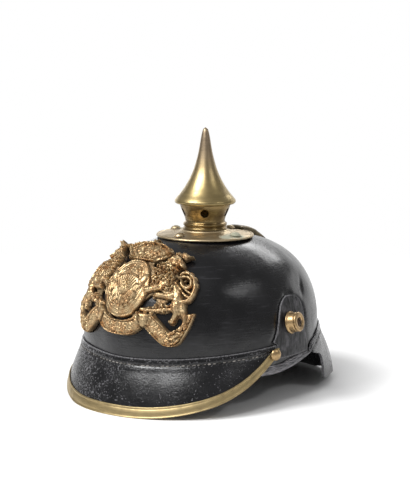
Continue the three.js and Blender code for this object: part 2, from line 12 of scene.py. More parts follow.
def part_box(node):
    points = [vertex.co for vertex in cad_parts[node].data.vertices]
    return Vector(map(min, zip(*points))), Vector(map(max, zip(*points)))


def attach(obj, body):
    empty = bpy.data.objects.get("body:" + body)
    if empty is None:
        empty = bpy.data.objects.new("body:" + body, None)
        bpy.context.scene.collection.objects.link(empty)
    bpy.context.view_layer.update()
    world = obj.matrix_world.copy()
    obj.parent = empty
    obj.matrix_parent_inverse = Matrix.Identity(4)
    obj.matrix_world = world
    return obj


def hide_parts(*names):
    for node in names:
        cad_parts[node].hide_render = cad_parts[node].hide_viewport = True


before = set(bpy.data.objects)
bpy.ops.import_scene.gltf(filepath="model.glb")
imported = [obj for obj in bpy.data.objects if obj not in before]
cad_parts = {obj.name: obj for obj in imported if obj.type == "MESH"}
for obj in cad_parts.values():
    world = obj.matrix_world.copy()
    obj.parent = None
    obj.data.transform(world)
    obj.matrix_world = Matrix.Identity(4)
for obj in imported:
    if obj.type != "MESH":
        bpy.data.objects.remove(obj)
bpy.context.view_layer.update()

bl_info = {
    "name": "Spiked Helmet",
    "version": (1, 0, 0),
    "blender": (4, 5, 0),
    "location": "View3D > Sidebar > Helmet",
    "description": "Builds the leather, brass and stage of a spiked helmet",
    "category": "Add Mesh",
}

# Lengths are millimetres and angles degrees, from the spike's axis on the floor: -Y is the front
# and +X the wearer's left. A plan angle runs from the front (0) over the wearer's left (90).
MM = 0.001
SPIKE_LOW, SPIKE_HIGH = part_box("spike")
SHELL_LOW, SHELL_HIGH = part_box("leather_shell")
AXIS_Y = (SPIKE_LOW[1] + SPIKE_HIGH[1]) / 2
GAP = 0.35
HALF_WIDTH = (SHELL_HIGH[0] - SHELL_LOW[0]) / 2 / MM
HALF_LENGTH = (SHELL_HIGH[1] - SHELL_LOW[1]) / 2 / MM
EQUATOR = 47.0
RISE = SHELL_HIGH[2] / MM - EQUATOR
ROUNDNESS = 2.6
SHELL_EDGE = {"front": 34.6, "rear": 38.7}
RIM = {"front": 26.4, "rear": 34.3, "wall": 4.6, "swelling": 1.3}
BULGE = {"angle": -43.0, "reach": 28.0, "share": 0.045, "top": 118.0, "full": 72.0}
FLANGE = 6.5
BEND = 5.0
FRONT_WALL = 2.0
STITCH_DROP = 5.3
FRONT = {
    "end": 80.3, "seam_front": 44.0, "seam_side": 51.0, "seam_power": 1.55,
    "edge_width": 106.4, "edge_length": 124.8, "end_width": 93.6, "end_length": 110.2,
    "end_from": 45.0, "flat": 8.0, "side": 79.0, "side_z": 41.3, "curl": 2.47, "belly": 0.38,
}
REAR = {
    "seam": 54.4, "edge_flare": 0.054, "rear_flare": 0.185, "flare_from": 62.0, "flare_to": 25.0,
    "belly": 0.7, "flat": 16.0, "corner": 58.3, "corner_z": 9.0, "power": 0.65,
}
TRIM = {"brass": 0.7, "front_width": 9.0, "side_width": 8.0, "inside": 4.2, "end": 81.2}
RIVET = {"angle": 78.4, "z": 44.6, "lift": 1.4}
POST = {"y": 0.5, "z": 67.5, "base_x": 91.9, "up": 10.0, "back": 9.0, "flange": 9.3, "recess": 8.1}
TAB_SINK = 1.25
CREASE = {"y": 33.0, "z": 92.0, "lean": 0.4, "depth": 1.3, "hollow": 1.2}
CORROSION = ((90, 19.0), (262, 13.0), (72, 12.0))  # plan angle on the ring of nuts, and reach
BASE = {"radius": 41.8, "brass": 1.2, "hole": 13.0, "foot": 19.6, "foot_z": 137.3, "circle": 33.5}
NECK = {"brass": 1.2, "vent_z": 152.4, "vent_radius": 3.6, "vents": 5, "vent_angle": 39.0}
SPINE = {"half_width": 7.6, "thickness": 1.5}
PLATE = {"centre": (0.0, -100.06, 90.0), "tilt": 24.0, "eye": 170.0, "inner": 0.5}


def table(columns, rows):
    """Rows under named columns."""
    return np.array(rows, dtype=[(column, float) for column in columns.split()])


REAR_CORNER = table("angle seam free", [
    (58.3, 51.6, 9), (58.9, 51.2, 20), (59.6, 50.8, 27), (61.2, 49.8, 31),
    (64.2, 47.6, 33), (68.2, 46.2, 34.8), (70.6, 44.6, 36.2), (73, 40, 37.8),
])
TAB_OUTLINE = table("z front rear", [
    (39.2, -14.6, 29), (45, -14.9, 28.7), (51.2, -15.4, 26.6), (53.4, -19.6, 25.8),
    (57, -17, 24.4), (63, -14.4, 23.6), (75, -11.2, 23.4), (81, -8.8, 22),
    (85, -5.4, 18.6), (87.6, -1.8, 13.8), (89, 1.8, 7.6),
])
SPINE_PROFILE = table("y lift top", [
    (38.8, 2.9, 4), (40.2, 2.9, 4.9), (43.6, 2.9, 5.6), (44.8, 0.4, 5.7), (52, 0.4, 5.9),
    (60, 0.4, 5.6), (63, 0.4, 5), (74, 0.4, 3.8), (83, 0.4, 2.4), (89, 0.4, 1.9),
])
SPIKE_PROFILE = table("z r", [
    (224, 0), (223.3, 1.2), (221.5, 2.4), (216.6, 3.6), (209.5, 4.8), (202.4, 6.1),
    (195.3, 7.9), (188.2, 10.1), (181.2, 13.1), (174.1, 17), (168.4, 21), (164.9, 24),
    (163, 25.5), (161.9, 26.1), (160.5, 26), (159.4, 24.9),
])
NECK_PROFILE = table("z r", [
    (137.7, 18.9), (138.9, 18.6), (139.9, 17.7), (141, 18.6), (142.6, 18.6), (143.8, 17.2),
    (145.6, 17), (148.6, 17.8), (151.1, 18.9), (153.7, 20), (156.3, 21), (158.8, 21.7),
])


# ---- settings -----------------------------------------------------------------------------------
def linear(hex_value):
    """An sRGB colour such as "a8925f" as a linear RGBA."""
    parts = [int(hex_value[at:at + 2], 16) / 255 for at in (0, 2, 4)]
    return tuple(c / 12.92 if c <= 0.04045 else ((c + 0.055) / 1.055) ** 2.4 for c in parts) + (1.0,)


def length(name, description, default):
    return FloatProperty(name=name, description=description, default=default, min=0.1, precision=2)


def tone(name, description, hex_value):
    return FloatVectorProperty(name=name, description=description, subtype="COLOR", size=4,
                               min=0.0, max=1.0, default=linear(hex_value))


class HelmetLeather(bpy.types.PropertyGroup):
    """Leather walls, stitching and their colours."""

    shell_wall: length("Bowl wall", "Thickness of the bowl's leather, in millimetres", 2.5)
    visor_wall: length("Visor wall", "Thickness of the visors' leather, in millimetres", FRONT_WALL)
    tab_wall: length("Tab wall", "Thickness of the side tabs, in millimetres", 1.2)
    stitch_pitch: length("Stitch pitch", "Distance from stitch to stitch, in millimetres", 4.2)
    black: tone("Black", "Black varnish", "08080a")
    worn: tone("Worn", "Grey where the varnish is rubbed", "2f2e32")
    fleck: tone("Fleck", "Pale grey flakes in the crazed varnish", "858388")
    # The pale edge is partly rubbed leather and partly a painted highlight along cut edges.
    edge: tone("Edge", "Rubbed leather along a cut edge", "858487")
    rim: tone("Rim", "Grey of the rolled rim, where hands wore its black away", "868487")
    # The rim's grey is partly wear and partly a painted sheen of the white floor.
    thread: tone("Thread", "Waxed thread where it is clean", "928d88")
    blacking: tone("Blacking", "Thread under old blacking", "26241f")


class HelmetBrass(bpy.types.PropertyGroup):
    """Colours of the brass and iron parts."""

    trim: tone("Trim", "Pale brass of the visor's trim", "ad9a71")
    spike: tone("Spike", "Olive brass of the spike", "a89569")
    tip: tone("Spike tip", "Brown-grey of the spike towards its tip", "9c8a76")
    # The collar's darker tone is partly a painted reflection of the dark bowl round it.
    collar: tone("Collar", "Browner brass of the collar", "89744e")
    spine: tone("Spine", "Dark brass of the back spine", "6f6249")
    base: tone("Base", "Pinkish dull brass of the base plate", "c3b08e")
    plate: tone("Plate", "Gilt brass of the helmet plate", "c6ad85")
    rubbed: tone("Rubbed", "Tint where the gilding is rubbed through", "e6cbb8")
    fitting: tone("Fittings", "Golden brass of the posts and rivets", "bb9e74")
    tarnish_and_shade: tone("Tarnish", "Brown in hollows and under stains", "38291a")
    # This brown also stands for painted shade in the plate's hollows.
    verdigris: tone("Verdigris", "Grey-green corrosion", "9b9e8c")
    iron: tone("Iron", "Blued iron of the screws", "4a3f33")
    rust: tone("Rust", "Rust on the screws", "6b4a30")


class HelmetStage(bpy.types.PropertyGroup):
    """Light on the helmet."""

    key: length("Key light", "Brightness of the soft light in front, in watts", 19.0)
    visor: length("Visor light", "Brightness of the small soft light before the visor, in watts", 7.6)
    side: length("Side light", "Brightness of the small soft light at the side, in watts", 1.6)
    back: length("Back light", "Brightness of the soft light above and behind, in watts", 4.8)
    screen: length("Screen", "Brightness of the white screen behind, in watts", 6.0)
    wing: length("Wing", "Brightness of the white screen on the wearer's right, in watts", 3.6)


# ---- places on the helmet -----------------------------------------------------------------------
def ease(value, low, high):
    part = np.clip((np.asarray(value, float) - low) / (high - low), 0, 1)
    return part * part * (3 - 2 * part)


def mix(a, b, part):
    return a + (b - a) * part


def hump(value, centre, width):
    """1 at a centre, and falling away on both sides of it."""
    return np.exp(-((value - centre) / width) ** 2)


def crown_share(z, offset):
    climb = np.clip((z - EQUATOR) / (RISE + offset), 0, 1)
    return (1 - climb ** ROUNDNESS) ** (1 / ROUNDNESS)


def swell(angle, z):
    """How far an old bulge has widened the bowl on the wearer's right front."""
    beside = fold(np.asarray(angle) - BULGE["angle"])
    return 1 + BULGE["share"] * ease(beside, BULGE["reach"], 0) * ease(z, BULGE["top"], BULGE["full"])


def around(angle, share, z, offset):
    """The place at a plan angle whose ring is a share of the shell's full plan."""
    turn = np.radians(angle)
    share = share * swell(angle, z)
    x = (HALF_WIDTH + offset) * share * np.sin(turn)
    y = -(HALF_LENGTH + offset) * share * np.cos(turn)
    return np.stack(np.broadcast_arrays(x, y, z), -1)


def wall_point(angle, z, offset=0.0):
    return around(angle, crown_share(z, offset), z, offset)


def crown_point(angle, climb):
    """Climb runs from 0 at the equator to 90 at the top."""
    share = np.clip(np.cos(np.radians(climb)), 0, 1) ** (2 / ROUNDNESS)
    lift = np.clip(np.sin(np.radians(climb)), 0, 1) ** (2 / ROUNDNESS)
    share = np.where(climb > 89.99, 0, share)
    return around(angle, share, EQUATOR + RISE * lift, 0.0)


def side_point(y, z, offset, side):
    ring = crown_share(z, offset) ** 2 - (y / (HALF_LENGTH + offset)) ** 2
    x = side * (HALF_WIDTH + offset) * np.sqrt(np.maximum(ring, 0))
    return np.stack(np.broadcast_arrays(x, y, z), -1)


def ridge_share(y):
    """Share of the crown's rise where its middle line reaches y."""
    return (1 - np.clip(np.abs(y) / HALF_LENGTH, 0, 1) ** ROUNDNESS) ** (1 / ROUNDNESS)


def under_base_z(r):
    return EQUATOR + RISE * ridge_share(r) + GAP


def fold(angle):
    return np.abs((np.asarray(angle) + 180) % 360 - 180)


def shell_edge_z(angle):
    return mix(SHELL_EDGE["front"], SHELL_EDGE["rear"], ease(fold(angle), 82, 98))


def rim_bottom_z(angle):
    return mix(RIM["front"], RIM["rear"], ease(fold(angle), 78, 116))


def flare_share(z, bend_z, edge_z, bend):
    """How far a visor has left the shell: 0 on its flange, 1 at its edge, with a soft bend."""
    def soft(drop):
        curve = (np.clip(drop, -bend, bend) + bend) ** 2 / (4 * bend)
        return np.where(drop > bend, drop, curve)
    return soft(bend_z - z) / np.maximum(soft(bend_z - edge_z), 1e-6)


def front_edge_z(angle):
    along = (np.abs(angle) - FRONT["flat"]) / (FRONT["side"] - FRONT["flat"])
    return FRONT["side_z"] * np.clip(along, 0, 1) ** FRONT["curl"]


def front_seam_z(angle):
    share = (np.abs(angle) / FRONT["side"]) ** FRONT["seam_power"]
    return mix(FRONT["seam_front"], FRONT["seam_side"], share)


def front_face(angle, z):
    """The front visor's inner face."""
    wall = wall_point(angle, z, GAP)
    at_end = ease(np.abs(angle), FRONT["end_from"], FRONT["end"])
    bend = BEND * mix(1, 0.5, at_end)
    share = flare_share(z, front_seam_z(angle) - FLANGE, front_edge_z(angle), bend)
    share = share * (1 + FRONT["belly"] * np.clip(1 - share, 0, 1))
    turn = np.radians(angle)
    edge_x = mix(FRONT["edge_width"], FRONT["end_width"], at_end) * np.sin(turn)
    edge_y = -mix(FRONT["edge_length"], FRONT["end_length"], at_end) * np.cos(turn)
    wall[..., 0] = mix(wall[..., 0], edge_x, share)
    wall[..., 1] = mix(wall[..., 1], edge_y, share)
    return wall


def rear_seam_z(angle):
    corner = np.interp(np.abs(angle), REAR_CORNER["angle"], REAR_CORNER["seam"])
    middle = mix(REAR["seam"], REAR_CORNER["seam"][0], ease(np.abs(angle), 40, REAR["corner"]))
    return np.where(np.abs(angle) >= REAR["corner"], corner, middle)


def rear_edge_z(angle):
    along = np.maximum(np.abs(angle) - REAR["flat"], 0) / (REAR["corner"] - REAR["flat"])
    return REAR["corner_z"] * along ** REAR["power"]


def rear_free_z(angle):
    corner = np.interp(np.abs(angle), REAR_CORNER["angle"], REAR_CORNER["free"])
    return np.where(np.abs(angle) < REAR["corner"], rear_edge_z(angle), corner)


def rear_face(angle, z):
    """The rear visor's inner face, with its angle counted from the rear."""
    wall = wall_point(180 - angle, z, GAP)
    towards_rear = ease(REAR["flare_from"] - np.abs(angle), 0, REAR["flare_from"] - REAR["flare_to"])
    flare = mix(REAR["edge_flare"], REAR["rear_flare"], towards_rear)
    share = flare_share(z, rear_seam_z(angle) - FLANGE, rear_edge_z(angle), BEND)
    grow = 1 + flare * share * (1 + REAR["belly"] * (1 - share))
    wall[..., :2] *= grow[..., None]
    return wall


def square_off(face, angle, z, distance):
    """Moves off a visor's face, square to it."""
    step = 0.25
    across = face(angle + step, z) - face(angle - step, z)
    up = face(angle, z + step) - face(angle, z - step)
    normal = np.cross(across, up)
    normal /= np.linalg.norm(normal, axis=-1, keepdims=True)
    point = face(angle, z)
    inward = (normal[..., :2] * point[..., :2]).sum(-1, keepdims=True) < 0
    return point + np.where(inward, -normal, normal) * np.asarray(distance)[..., None]


def off_face(face, angle, z, distance):
    """The place at height z on the surface that stands off a visor's face."""
    angle, z, distance = np.broadcast_arrays(np.asarray(angle, float), z, distance)
    start = np.array(z, float)
    for _ in range(8):
        start = start + z - square_off(face, angle, start, distance)[..., 2]
    return square_off(face, angle, start, distance)


# ---- mesh tools ---------------------------------------------------------------------------------
def deselect():
    if bpy.context.object and bpy.context.object.mode != "OBJECT":
        bpy.ops.object.mode_set(mode="OBJECT")
    bpy.ops.object.select_all(action="DESELECT")


def only(piece):
    deselect()
    piece.select_set(True)
    bpy.context.view_layer.objects.active = piece


def points_of(piece):
    flat = np.empty(len(piece.data.vertices) * 3)
    piece.data.vertices.foreach_get("co", flat)
    return flat.reshape(-1, 3)


def put_points(piece, points):
    piece.data.vertices.foreach_set("co", np.ascontiguousarray(points).ravel())
    piece.data.update()


def to_row(points):
    """Millimetres from the spike's axis to metres in the row's frame."""
    moved = np.array(points, float) * MM
    moved[..., 1] += AXIS_Y
    return moved


def note(piece, name, values):
    """Keeps a number for each point of a mesh, for its material to read."""
    piece.data.attributes.new(name, "FLOAT", "POINT").data.foreach_set("value", np.ravel(values))


def noise(points, size, seed=0.0):
    """Smooth noise from -1 to 1, with humps of about a size in millimetres."""
    flat = np.reshape(points, (-1, 3)) / size + seed
    values = [bumps.noise(Vector(place)) for place in flat.tolist()]
    return np.reshape(values, np.shape(points)[:-1])


def weld(piece, reach=0.02):
    """Merges points within a reach in millimetres, if any, and turns the faces outwards."""
    only(piece)
    bpy.ops.object.mode_set(mode="EDIT")
    bpy.ops.mesh.select_all(action="SELECT")
    if reach:
        bpy.ops.mesh.remove_doubles(threshold=reach * MM)
    bpy.ops.mesh.normals_make_consistent(inside=False)
    bpy.ops.object.mode_set(mode="OBJECT")


def sheet(name, points):
    """A grid laid on an array of places, columns by rows."""
    deselect()
    columns, rows = points.shape[:2]
    bpy.ops.mesh.primitive_grid_add(x_subdivisions=columns - 1, y_subdivisions=rows - 1, size=2)
    piece = bpy.context.object
    piece.name = name
    put_points(piece, to_row(points.transpose(1, 0, 2).reshape(-1, 3)))
    return piece


def carried_round(face, closed_run):
    """Values given on a wall's outer face, for both of its faces and its ends."""
    loop = np.concatenate([face, face[:, ::-1], face[:, :1]], 1)
    return np.concatenate((loop, loop[:1]) if closed_run else (loop[:1], loop, loop[-1:]))


def thick(name, outer, inner, closed_run=False, edges=0.0, seam=None):
    """A wall between two arrays of places. An open run gets a cap at each end.

    Edges is how far in from its outer face's edges it is worn and given a painted highlight; seam is a value
    for each place."""
    loop = np.concatenate([outer, inner[:, ::-1], outer[:, :1]], 1)
    worn = np.zeros(outer.shape[:2])
    if edges:
        step = np.linalg.norm(np.diff(outer, axis=1), axis=2)
        low = np.concatenate([np.zeros((len(outer), 1)), np.cumsum(step, 1)], 1)
        rim = np.minimum(low, low[:, -1:] - low)
        if not closed_run:
            run = np.linalg.norm(np.diff(outer[:, outer.shape[1] // 2], axis=0), axis=1)
            along = np.concatenate([[0], np.cumsum(run)])
            rim = np.minimum(rim, np.minimum(along, along[-1] - along)[:, None])
        worn = hump(rim, 0, edges)
    if closed_run:
        loop = np.concatenate([loop, loop[:1]])
    else:
        middle = (outer + inner) / 2
        cap = np.concatenate([middle, middle[:, ::-1], middle[:, :1]], 1)
        loop = np.concatenate([cap[:1], loop, cap[-1:]])
    piece = sheet(name, loop)
    note(piece, "worn_edge", carried_round(worn, closed_run).T)
    if seam is not None:
        note(piece, "seam", carried_round(seam, closed_run).T)
    weld(piece)
    return piece


def modify(piece, kind, **settings):
    """Adds a modifier and applies it."""
    only(piece)
    made = piece.modifiers.new(kind.title(), kind)
    for key, value in settings.items():
        setattr(made, key, value)
    bpy.ops.object.modifier_apply(modifier=made.name)


def turned(name, profile, sides):
    """Turns (z, r) rows about the axis: a circle is extruded and resized from row to row."""
    rows = [(z, max(r, 0.002)) for z, r in profile]
    deselect()
    bpy.ops.mesh.primitive_circle_add(vertices=sides, radius=rows[0][1] * MM)
    piece = bpy.context.object
    piece.name = name
    bpy.ops.object.mode_set(mode="EDIT")
    bpy.ops.transform.translate(value=(0, 0, rows[0][0] * MM))
    for (z_from, r_from), (z_to, r_to) in zip(rows, rows[1:]):
        step = (0, 0, (z_to - z_from) * MM)
        bpy.ops.mesh.extrude_region_move(TRANSFORM_OT_translate={"value": step})
        share = r_to / r_from
        bpy.ops.transform.resize(value=(share, share, 1), center_override=(0, 0, z_to * MM))
    bpy.ops.object.mode_set(mode="OBJECT")
    weld(piece)
    return piece


def softened(profile, per):
    """A smooth curve through (z, r) rows."""
    return [tuple(row) for row in smooth_line(profile, per=per)]


def domed(profile):
    """A stud's rows: a flat foot, and a smooth curve from its rim to the top."""
    return profile[:2] + softened(profile[1:], 3)


def place_at(piece, place=(0, 0, 0), axis=(0, 0, 1), spin=0.0):
    """Stands a piece's mesh on a place in millimetres, with its +Z along an axis."""
    turn = Vector((0, 0, 1)).rotation_difference(Vector(axis)).to_matrix().to_4x4()
    spot = Matrix.Translation(Vector(to_row(place)))
    piece.data.transform(spot @ turn @ Matrix.Rotation(spin, 4, "Z"))


def direction(turn, climb=0.0):
    """Points outwards at a plan angle and a height angle."""
    turn, climb = math.radians(turn), math.radians(climb)
    return np.array((math.sin(turn) * math.cos(climb), -math.cos(turn) * math.cos(climb), math.sin(climb)))


def cut(piece, tool):
    """Cuts a tool's shape out of a piece, and removes the tool."""
    modify(piece, "BOOLEAN", operation="DIFFERENCE", solver="EXACT", object=tool)
    bpy.data.objects.remove(tool)


def copy_of(model, name):
    piece = bpy.data.objects.new(name, model.data.copy())
    bpy.context.collection.objects.link(piece)
    return piece


def repeated(name, model, places):
    """Joins copies of a small model, one for each 4 by 4 matrix, and removes the model."""
    points = points_of(model)
    faces = [tuple(face.vertices) for face in model.data.polygons]
    all_points = []
    all_faces = []
    for index, place in enumerate(places):
        matrix = np.array(place)
        all_points.append(points @ matrix[:3, :3].T + matrix[:3, 3])
        all_faces += [tuple(corner + index * len(points) for corner in face) for face in faces]
    mesh = bpy.data.meshes.new(name)
    mesh.from_pydata(np.concatenate(all_points).tolist(), [], all_faces)
    piece = bpy.data.objects.new(name, mesh)
    bpy.context.collection.objects.link(piece)
    bpy.data.objects.remove(model)
    return piece


def settle(piece, material, slot, *nodes, smooth=40):
    """Gives a piece its finish and its place in the helmet."""
    only(piece)
    bpy.ops.object.shade_smooth_by_angle(angle=math.radians(smooth))
    piece.data.materials.clear()
    piece.data.materials.append(material)
    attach(piece, "root")
    if nodes:
        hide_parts(*nodes)
    return piece


# ---- finishes -----------------------------------------------------------------------------------
def add_node(tree, kind, inputs=(), output=0, **settings):
    """Adds a node with its settings, and gives each input a value or a link. Returns an output."""
    made = tree.nodes.new("ShaderNode" + kind)
    for key, value in settings.items():
        setattr(made, key, value)
    for key, value in inputs.items() if isinstance(inputs, dict) else enumerate(inputs):
        if isinstance(value, bpy.types.NodeSocket):
            tree.links.new(value, made.inputs[key])
        elif value is not None:
            made.inputs[key].default_value = value
    return made.outputs[output] if made.outputs else None


def begin(name):
    """A new material, the function that adds its nodes, and the places on the piece."""
    material = bpy.data.materials.new(name)
    material.use_nodes = True
    material.node_tree.nodes.clear()
    add = partial(add_node, material.node_tree)
    return material, add, add("TexCoord", output="Object")


def finish(name, group="helmet_brass"):
    """Marks what paints a finish. Its material is made once, under its name, and shared."""
    def keep(paint):
        def made():
            if name not in bpy.data.materials:
                _, add, place = begin(name)
                paint(add, place, getattr(bpy.context.scene, group))
            return bpy.data.materials[name]
        return made
    return keep


def grain(add, place, size, detail, stretch=(1, 1, 1)):
    """Noise from 0 to 1 with humps of a size in millimetres, longer where the stretch is larger."""
    scale = tuple(1 / (size * MM * part) for part in stretch)
    sized = add("Mapping", {"Vector": place, "Scale": scale})
    return add("TexNoise", {"Vector": sized, "Scale": 1.0, "Detail": detail}, "Fac")


def wavering(add, place, size, reach):
    """Places shifted about by noise, so that a pattern on them wavers."""
    shift = add("TexNoise", {"Vector": place, "Scale": 1 / (size * MM), "Detail": 2.0}, "Color")
    shift = add("VectorMath", (shift, (0.5, 0.5, 0.5)), operation="SUBTRACT")
    shift = add("VectorMath", {0: shift, "Scale": reach * MM}, operation="SCALE")
    return add("VectorMath", (place, shift), operation="ADD")


def painted(add, base, *layers):
    """Lays colours over a base, each as (cover, colour)."""
    for cover, colour in layers:
        base = add("Mix", {0: cover, 6: base, 7: colour}, 2, data_type="RGBA")
    return base


def embossed(add, *layers):
    """Relief made of layers, each as (height, its depth in millimetres)."""
    relief = None
    for height, depth in layers:
        relief = add("Bump", {"Strength": 1.0, "Distance": depth * MM, "Height": height, "Normal": relief})
    return relief


def close_shader(add, **inputs):
    """Ends a material. Each input goes straight to the shader's own socket of that name."""
    names = {"colour": "Base Color", "specular": "Specular IOR Level", "ior": "IOR"}
    sockets = {names.get(key, key.title()): value for key, value in inputs.items()}
    add("OutputMaterial", {"Surface": add("BsdfPrincipled", sockets)})


def rubbed_and_lit_edge(add, pores, least, most):
    """Where a cut edge is worn and given a painted highlight, broken up by pores."""
    worn = add("Attribute", output="Fac", attribute_name="worn_edge")
    return add("Math", (worn, add("MapRange", (pores, 0.35, 0.6, least, most))), operation="MULTIPLY")


@finish("Varnished Blocked Leather", "helmet_leather")
def shell_leather(add, place, tones):
    """Blocked cowhide under black varnish: a deep gloss that fine cracks and long rubs break up."""
    clouds = grain(add, place, 26, 4)
    rubs = grain(add, place, 1.1, 3, (16, 16, 1))
    pores = grain(add, place, 0.9, 3)
    worn = add("Math", (add("MapRange", (rubs, 0.56, 0.72)), add("MapRange", (clouds, 0.42, 0.62, 0, 0.7))),
               operation="MULTIPLY")
    base = painted(add, tones.black, (add("MapRange", (clouds, 0.35, 0.7, 0, 0.15)), tones.worn),
                   (worn, tones.worn), (rubbed_and_lit_edge(add, pores, 0.2, 0.9), tones.edge))
    gloss = add("MapRange", (clouds, 0.3, 0.7, 0.2, 0.32))
    rough = add("Math", (worn, 0.25, gloss), operation="MULTIPLY_ADD")
    relief = embossed(add, (grain(add, place, 14, 3), 0.35), (pores, 0.04), (rubs, 0.06))
    close_shader(add, colour=base, roughness=rough, normal=relief, ior=1.5, specular=0.5)


@finish("Crazed Visor Leather", "helmet_leather")
def visor_leather(add, place, tones):
    """Sole leather under varnish that has crazed: dull flakes and pits over a soft gloss."""
    clouds = grain(add, place, 17, 4)
    pores = grain(add, place, 1.2, 3)
    rubs = grain(add, place, 1.0, 3, (10, 10, 1.6))
    cells = add("TexVoronoi", {"Vector": wavering(add, place, 1.6, 1.1), "Scale": 1 / (2.6 * MM)},
                feature="DISTANCE_TO_EDGE")
    cracks = add("MapRange", (cells, 0.05, 0.16, 1.0, 0.0))
    # The varnish has dried out on the wearer's right and at the back, along the seams and in spots.
    across = add("SeparateXYZ", (place,), 0)
    along = add("SeparateXYZ", (place,), 1)
    dry = add("Math", (add("MapRange", (across, 0.04, -0.03)), add("MapRange", (along, 0.05, 0.09, 0, 0.9))),
              operation="MAXIMUM")
    dry = add("Math", (dry, add("MapRange", (clouds, 0.3, 0.62))), operation="MULTIPLY")
    seam = add("Math", (add("Attribute", output="Fac", attribute_name="seam"),
                        add("MapRange", (clouds, 0.35, 0.7, 0, 0.8))), operation="MULTIPLY")
    spots = add("MapRange", (grain(add, place, 9, 2), 0.55, 0.75, 0, 0.3))
    crazed = add("Math", (dry, add("Math", (spots, seam), operation="MAXIMUM")), operation="MAXIMUM")
    flaky = add("Math", (crazed, 0.13, grain(add, place, 2.0, 3)), operation="MULTIPLY_ADD")
    lifted = add("Math", (cracks, add("MapRange", (flaky, 0.62, 0.7, 0, 0.7))), operation="MULTIPLY")
    flecks = add("Math", (add("MapRange", (flaky, 0.73, 0.79)), lifted), operation="MAXIMUM")
    base = painted(add, tones.black, (add("MapRange", (clouds, 0.35, 0.68, 0, 0.2)), tones.worn),
                   (add("Math", (flecks, 0.65), operation="MULTIPLY"), tones.fleck),
                   (add("MapRange", (rubs, 0.6, 0.75, 0, 0.35)), tones.worn),
                   (rubbed_and_lit_edge(add, pores, 0.15, 0.9), tones.edge))
    gloss = add("MapRange", (clouds, 0.3, 0.7, 0.22, 0.27))
    rough = add("Math", (flecks, 0.2, gloss), operation="MULTIPLY_ADD")
    broken = add("Math", (cracks, crazed), operation="MULTIPLY")
    relief = embossed(add, (grain(add, place, 10, 3), 0.1), (broken, 0.15), (flecks, 0.35), (pores, 0.16))
    close_shader(add, colour=base, roughness=rough, normal=relief, ior=1.5, specular=0.5)


@finish("Creased Tab Leather", "helmet_leather")
def tab_leather(add, place, tones):
    """Thin unvarnished hide: upright creases and a dry, hardly glossy face."""
    creases = grain(add, place, 1.3, 3, (1, 1, 5))
    pores = grain(add, place, 0.7, 3)
    clouds = grain(add, place, 9, 3)
    base = painted(add, tones.black, (add("MapRange", (creases, 0.42, 0.66, 0, 0.8)), tones.worn),
                   (add("MapRange", (clouds, 0.5, 0.7, 0, 0.4)), tones.fleck),
                   (rubbed_and_lit_edge(add, pores, 0.35, 1.0), tones.edge))
    rough = add("MapRange", (clouds, 0.3, 0.7, 0.42, 0.6))
    relief = embossed(add, (creases, 0.8), (pores, 0.12))
    close_shader(add, colour=base, roughness=rough, normal=relief, ior=1.5, specular=0.45)


@finish("Rolled Rim Leather", "helmet_leather")
def rim_leather(add, place, tones):
    """Thin hide rolled over the bowl's edge: grey along its length, partly where wear took the black off and
    partly a painted sheen of the white floor.
    """
    rubs = grain(add, place, 0.8, 3, (9, 9, 1))
    # Painted sheen and wear: grey laid along the whole rim.
    base = painted(add, tones.worn, (add("MapRange", (rubs, 0.36, 0.62)), tones.rim))
    relief = embossed(add, (rubs, 0.15), (grain(add, place, 0.7, 3), 0.08))
    close_shader(add, colour=base, roughness=0.42, normal=relief, ior=1.5)


@finish("Waxed Linen Thread", "helmet_leather")
def linen_thread(add, place, tones):
    """Waxed linen sewing thread: matt, twisted, and grey with old blacking."""
    clean = add("MapRange", (grain(add, place, 6, 3), 0.4, 0.62))
    twist = embossed(add, (grain(add, place, 0.35, 2, (1, 1, 2)), 0.15))
    base = painted(add, tones.blacking, (clean, tones.thread))
    close_shader(add, colour=base, roughness=0.8, normal=twist)


def brass(add, place, tones, tone, rough, marks, dull, aged=None, hollows=False, pits=0.05):
    """Old brass. Marks are the size and stretch of what its making left; aged adds what is its own."""
    specks = grain(add, place, 1.2, 3)
    marks = grain(add, place, marks[0], 3, marks[1])
    stain = add("Math", (add("MapRange", (grain(add, place, 8, 4), 0.46, 0.7, 0, dull)),
                         add("MapRange", (specks, 0.66, 0.76, 0, dull))), operation="MAXIMUM")
    # The plate's hollows get tarnish and painted shade.
    if hollows:
        low = add("Attribute", output="Fac", attribute_name="hollow")
        stain = add("Math", (stain, add("MapRange", (low, 0, 1, 0, 0.97))), operation="MAXIMUM")
    base = painted(add, tone, (stain, tones.tarnish_and_shade))
    rough = add("Math", (stain, 0.25, add("MapRange", (marks, 0.3, 0.7, rough - 0.05, rough + 0.05))),
                operation="MULTIPLY_ADD")
    metal = add("MapRange", (stain, 0, 1, 1.0, 0.6))
    if aged:
        base, rough, metal = aged(base, rough, metal)
    relief = embossed(add, (marks, 0.05), (specks, pits))
    close_shader(add, colour=base, roughness=rough, normal=relief, metallic=metal)


@finish("Rolled Pale Brass")
def trim_brass(add, place, tones):
    """Rolled brass strip bent over the edge: pale, rubbed dull, with marks along its length."""
    brass(add, place, tones, tones.trim, 0.44, (1.0, (14, 14, 1)), 0.35)


@finish("Spun Olive Brass")
def spike_brass(add, place, tones):
    """Brass spun on a lathe: clean highlights, fine rings round it, and an olive cast of age that
    turns brown and dull towards the tip."""

    def browned(base, rough, metal):
        dulled = add("MapRange", (add("SeparateXYZ", (place,), 2), 0.176, 0.21, 0, 0.85))
        base = painted(add, base, (dulled, tones.tip))
        return base, add("Math", (dulled, 0.08, rough), operation="MULTIPLY_ADD"), metal

    brass(add, place, tones, tones.spike, 0.35, (0.7, (20, 20, 1)), 0.25, browned, pits=0.01)


@finish("Spun Browned Brass")
def collar_brass(add, place, tones):
    """The same spun brass below the spike in a browner, darker tone, partly a painted reflection of the dark
    bowl round it.
    """
    brass(add, place, tones, tones.collar, 0.3, (0.7, (20, 20, 1)), 0.45, pits=0.02)


